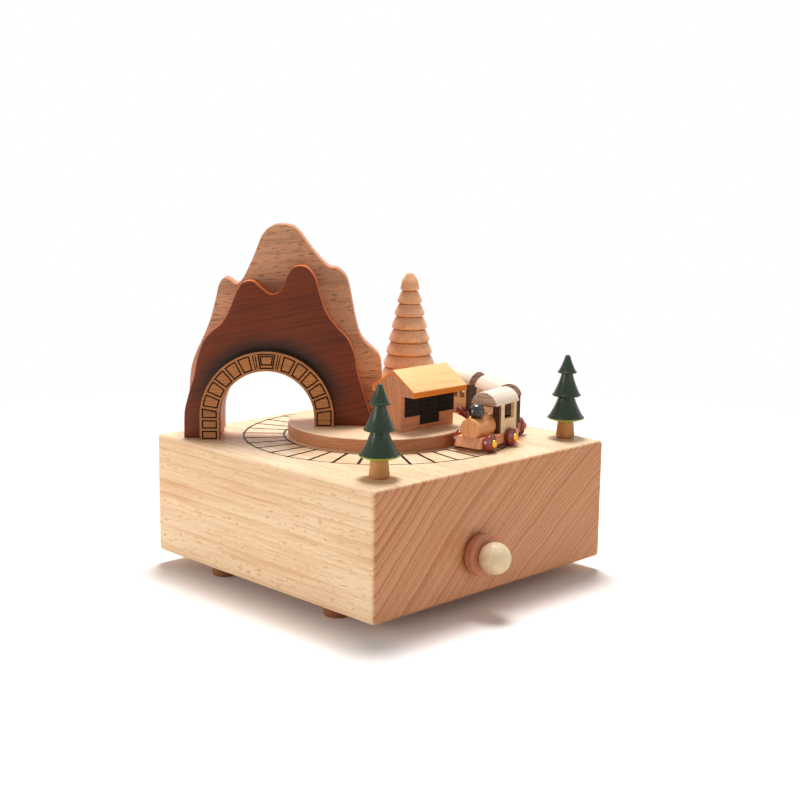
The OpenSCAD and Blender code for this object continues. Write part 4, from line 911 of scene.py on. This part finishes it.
class MUSICBOX_OT_stage(MakePiece, bpy.types.Operator):
    """Pale floor, soft lamps, white surroundings and the camera"""

    bl_idname = "musicbox.stage"
    bl_label = "Stage"

    def build(self, hue, size):
        self.floor()
        self.surroundings(size.surround)
        self.lamp("key", KEY_PLACE, KEY_SIDE, size.key_power)
        self.lamp("fill", FILL_PLACE, FILL_SIDE, size.fill_power)
        self.lamp("side", LOW_PLACE, LOW_SIDE, size.side_power)
        self.camera()

    def seen(self, tree):
        """1 for what is seen straight, mirrored or through glass, and 0 for the light that is given."""
        path = tree.nodes.new("ShaderNodeLightPath").outputs
        mirrored = maths(tree, "MAXIMUM", path["Is Glossy Ray"], path["Is Transmission Ray"])
        return maths(tree, "MAXIMUM", path["Is Camera Ray"], mirrored)

    def surroundings(self, strength):
        """White to look at, and a weaker light from all round."""
        world = bpy.data.worlds.new("white surroundings")
        world.use_nodes = True
        bpy.context.scene.world = world
        tree = world.node_tree
        ground = tree.nodes["Background"]
        ground.inputs["Color"].default_value = (1, 1, 1, 1)
        bright = maths(tree, "MULTIPLY_ADD", self.seen(tree), 1 - strength, strength)
        tree.links.new(bright, ground.inputs["Strength"])

    def floor(self):
        """Wide floor under the box."""
        mesh = bmesh.new()
        bmesh.ops.create_grid(mesh, x_segments=1, y_segments=1, size=FLOOR_HALF)
        floor = add_object("floor", mesh_data("floor", mesh))
        floor.data.materials.append(self.floor_paint())

    def floor_paint(self):
        """White round the object with its shadow, and plain white further out for whoever looks at it."""
        pale = plain_material("pale floor", FLOOR_PALE, 0.9)
        tree = pale.node_tree
        shader = tree.nodes["Principled BSDF"]
        shader.inputs["Specular IOR Level"].default_value = 0.0
        seen = self.seen(tree)
        far = ranged(tree, vectors(tree, "LENGTH", object_point(tree)), SHADOW_REACH, 2 * SHADOW_REACH)
        far = maths(tree, "MULTIPLY", far, seen)
        near = mixed(tree, seen, FLOOR_BOUNCE, SHADOW_PAPER)
        tree.links.new(mixed(tree, far, near, (0, 0, 0, 1)), shader.inputs["Base Color"])
        shader.inputs["Emission Color"].default_value = (1, 1, 1, 1)
        tree.links.new(far, shader.inputs["Emission Strength"])
        return pale

    def lamp(self, name, place, side, power):
        """Square lamp that looks at the box."""
        data = bpy.data.lights.new(name, "AREA")
        data.size = side
        data.energy = power
        turn = (LAMP_AIM - Vector(place)).to_track_quat("-Z", "Y").to_matrix().to_4x4()
        add_object(name, data).matrix_world = Matrix.Translation(place) @ turn

    def camera(self):
        """Camera at the photograph's place and heading."""
        yaw, pitch, roll = (math.radians(a) for a in (YAW, PITCH, ROLL))
        ahead = Vector((-math.cos(yaw) * math.cos(pitch), math.sin(yaw) * math.cos(pitch), -math.sin(pitch)))
        right = Vector((math.sin(yaw), math.cos(yaw), 0))
        rolled = right * math.cos(roll) + right.cross(ahead) * math.sin(roll)
        turn = Matrix((rolled, rolled.cross(ahead), -ahead)).transposed()
        data = bpy.data.cameras.new("photo camera")
        data.sensor_width = SENSOR
        data.lens = FOCAL_PIXELS / PHOTO_PIXELS * SENSOR
        data.clip_start = NEAREST
        camera = add_object("photo camera", data)
        camera.matrix_world = Matrix.Translation(EYE) @ turn.to_4x4()
        bpy.context.scene.camera = camera


PIECES = (
    MUSICBOX_OT_case,
    MUSICBOX_OT_tunnel,
    MUSICBOX_OT_house,
    MUSICBOX_OT_trees,
    MUSICBOX_OT_train,
    MUSICBOX_OT_wheels,
    MUSICBOX_OT_knob,
    MUSICBOX_OT_movement,
    MUSICBOX_OT_stage,
)


class MUSICBOX_PT_panel(bpy.types.Panel):
    """Lists the pieces and their sizes"""

    bl_idname = "MUSICBOX_PT_panel"
    bl_label = "Music box"
    bl_space_type = "VIEW_3D"
    bl_region_type = "UI"
    bl_category = "Music box"

    def draw(self, context):
        for operator in PIECES:
            self.layout.operator(operator.bl_idname)
        for group in (context.scene.box_sizes, context.scene.box_colours):
            for key in group.__annotations__:
                self.layout.prop(group, key)


CLASSES = (BoxColours, BoxSizes) + PIECES + (MUSICBOX_PT_panel,)


def register():
    for item in CLASSES:
        bpy.utils.register_class(item)
    bpy.types.Scene.box_colours = PointerProperty(type=BoxColours)
    bpy.types.Scene.box_sizes = PointerProperty(type=BoxSizes)


def unregister():
    del bpy.types.Scene.box_sizes
    del bpy.types.Scene.box_colours
    for item in reversed(CLASSES):
        bpy.utils.unregister_class(item)


def main():
    register()
    bpy.context.scene.view_settings.view_transform = "Standard"
    for operator in PIECES:
        family, name = operator.bl_idname.split(".")
        getattr(getattr(bpy.ops, family), name)()


if __name__ == "__main__":
    main()
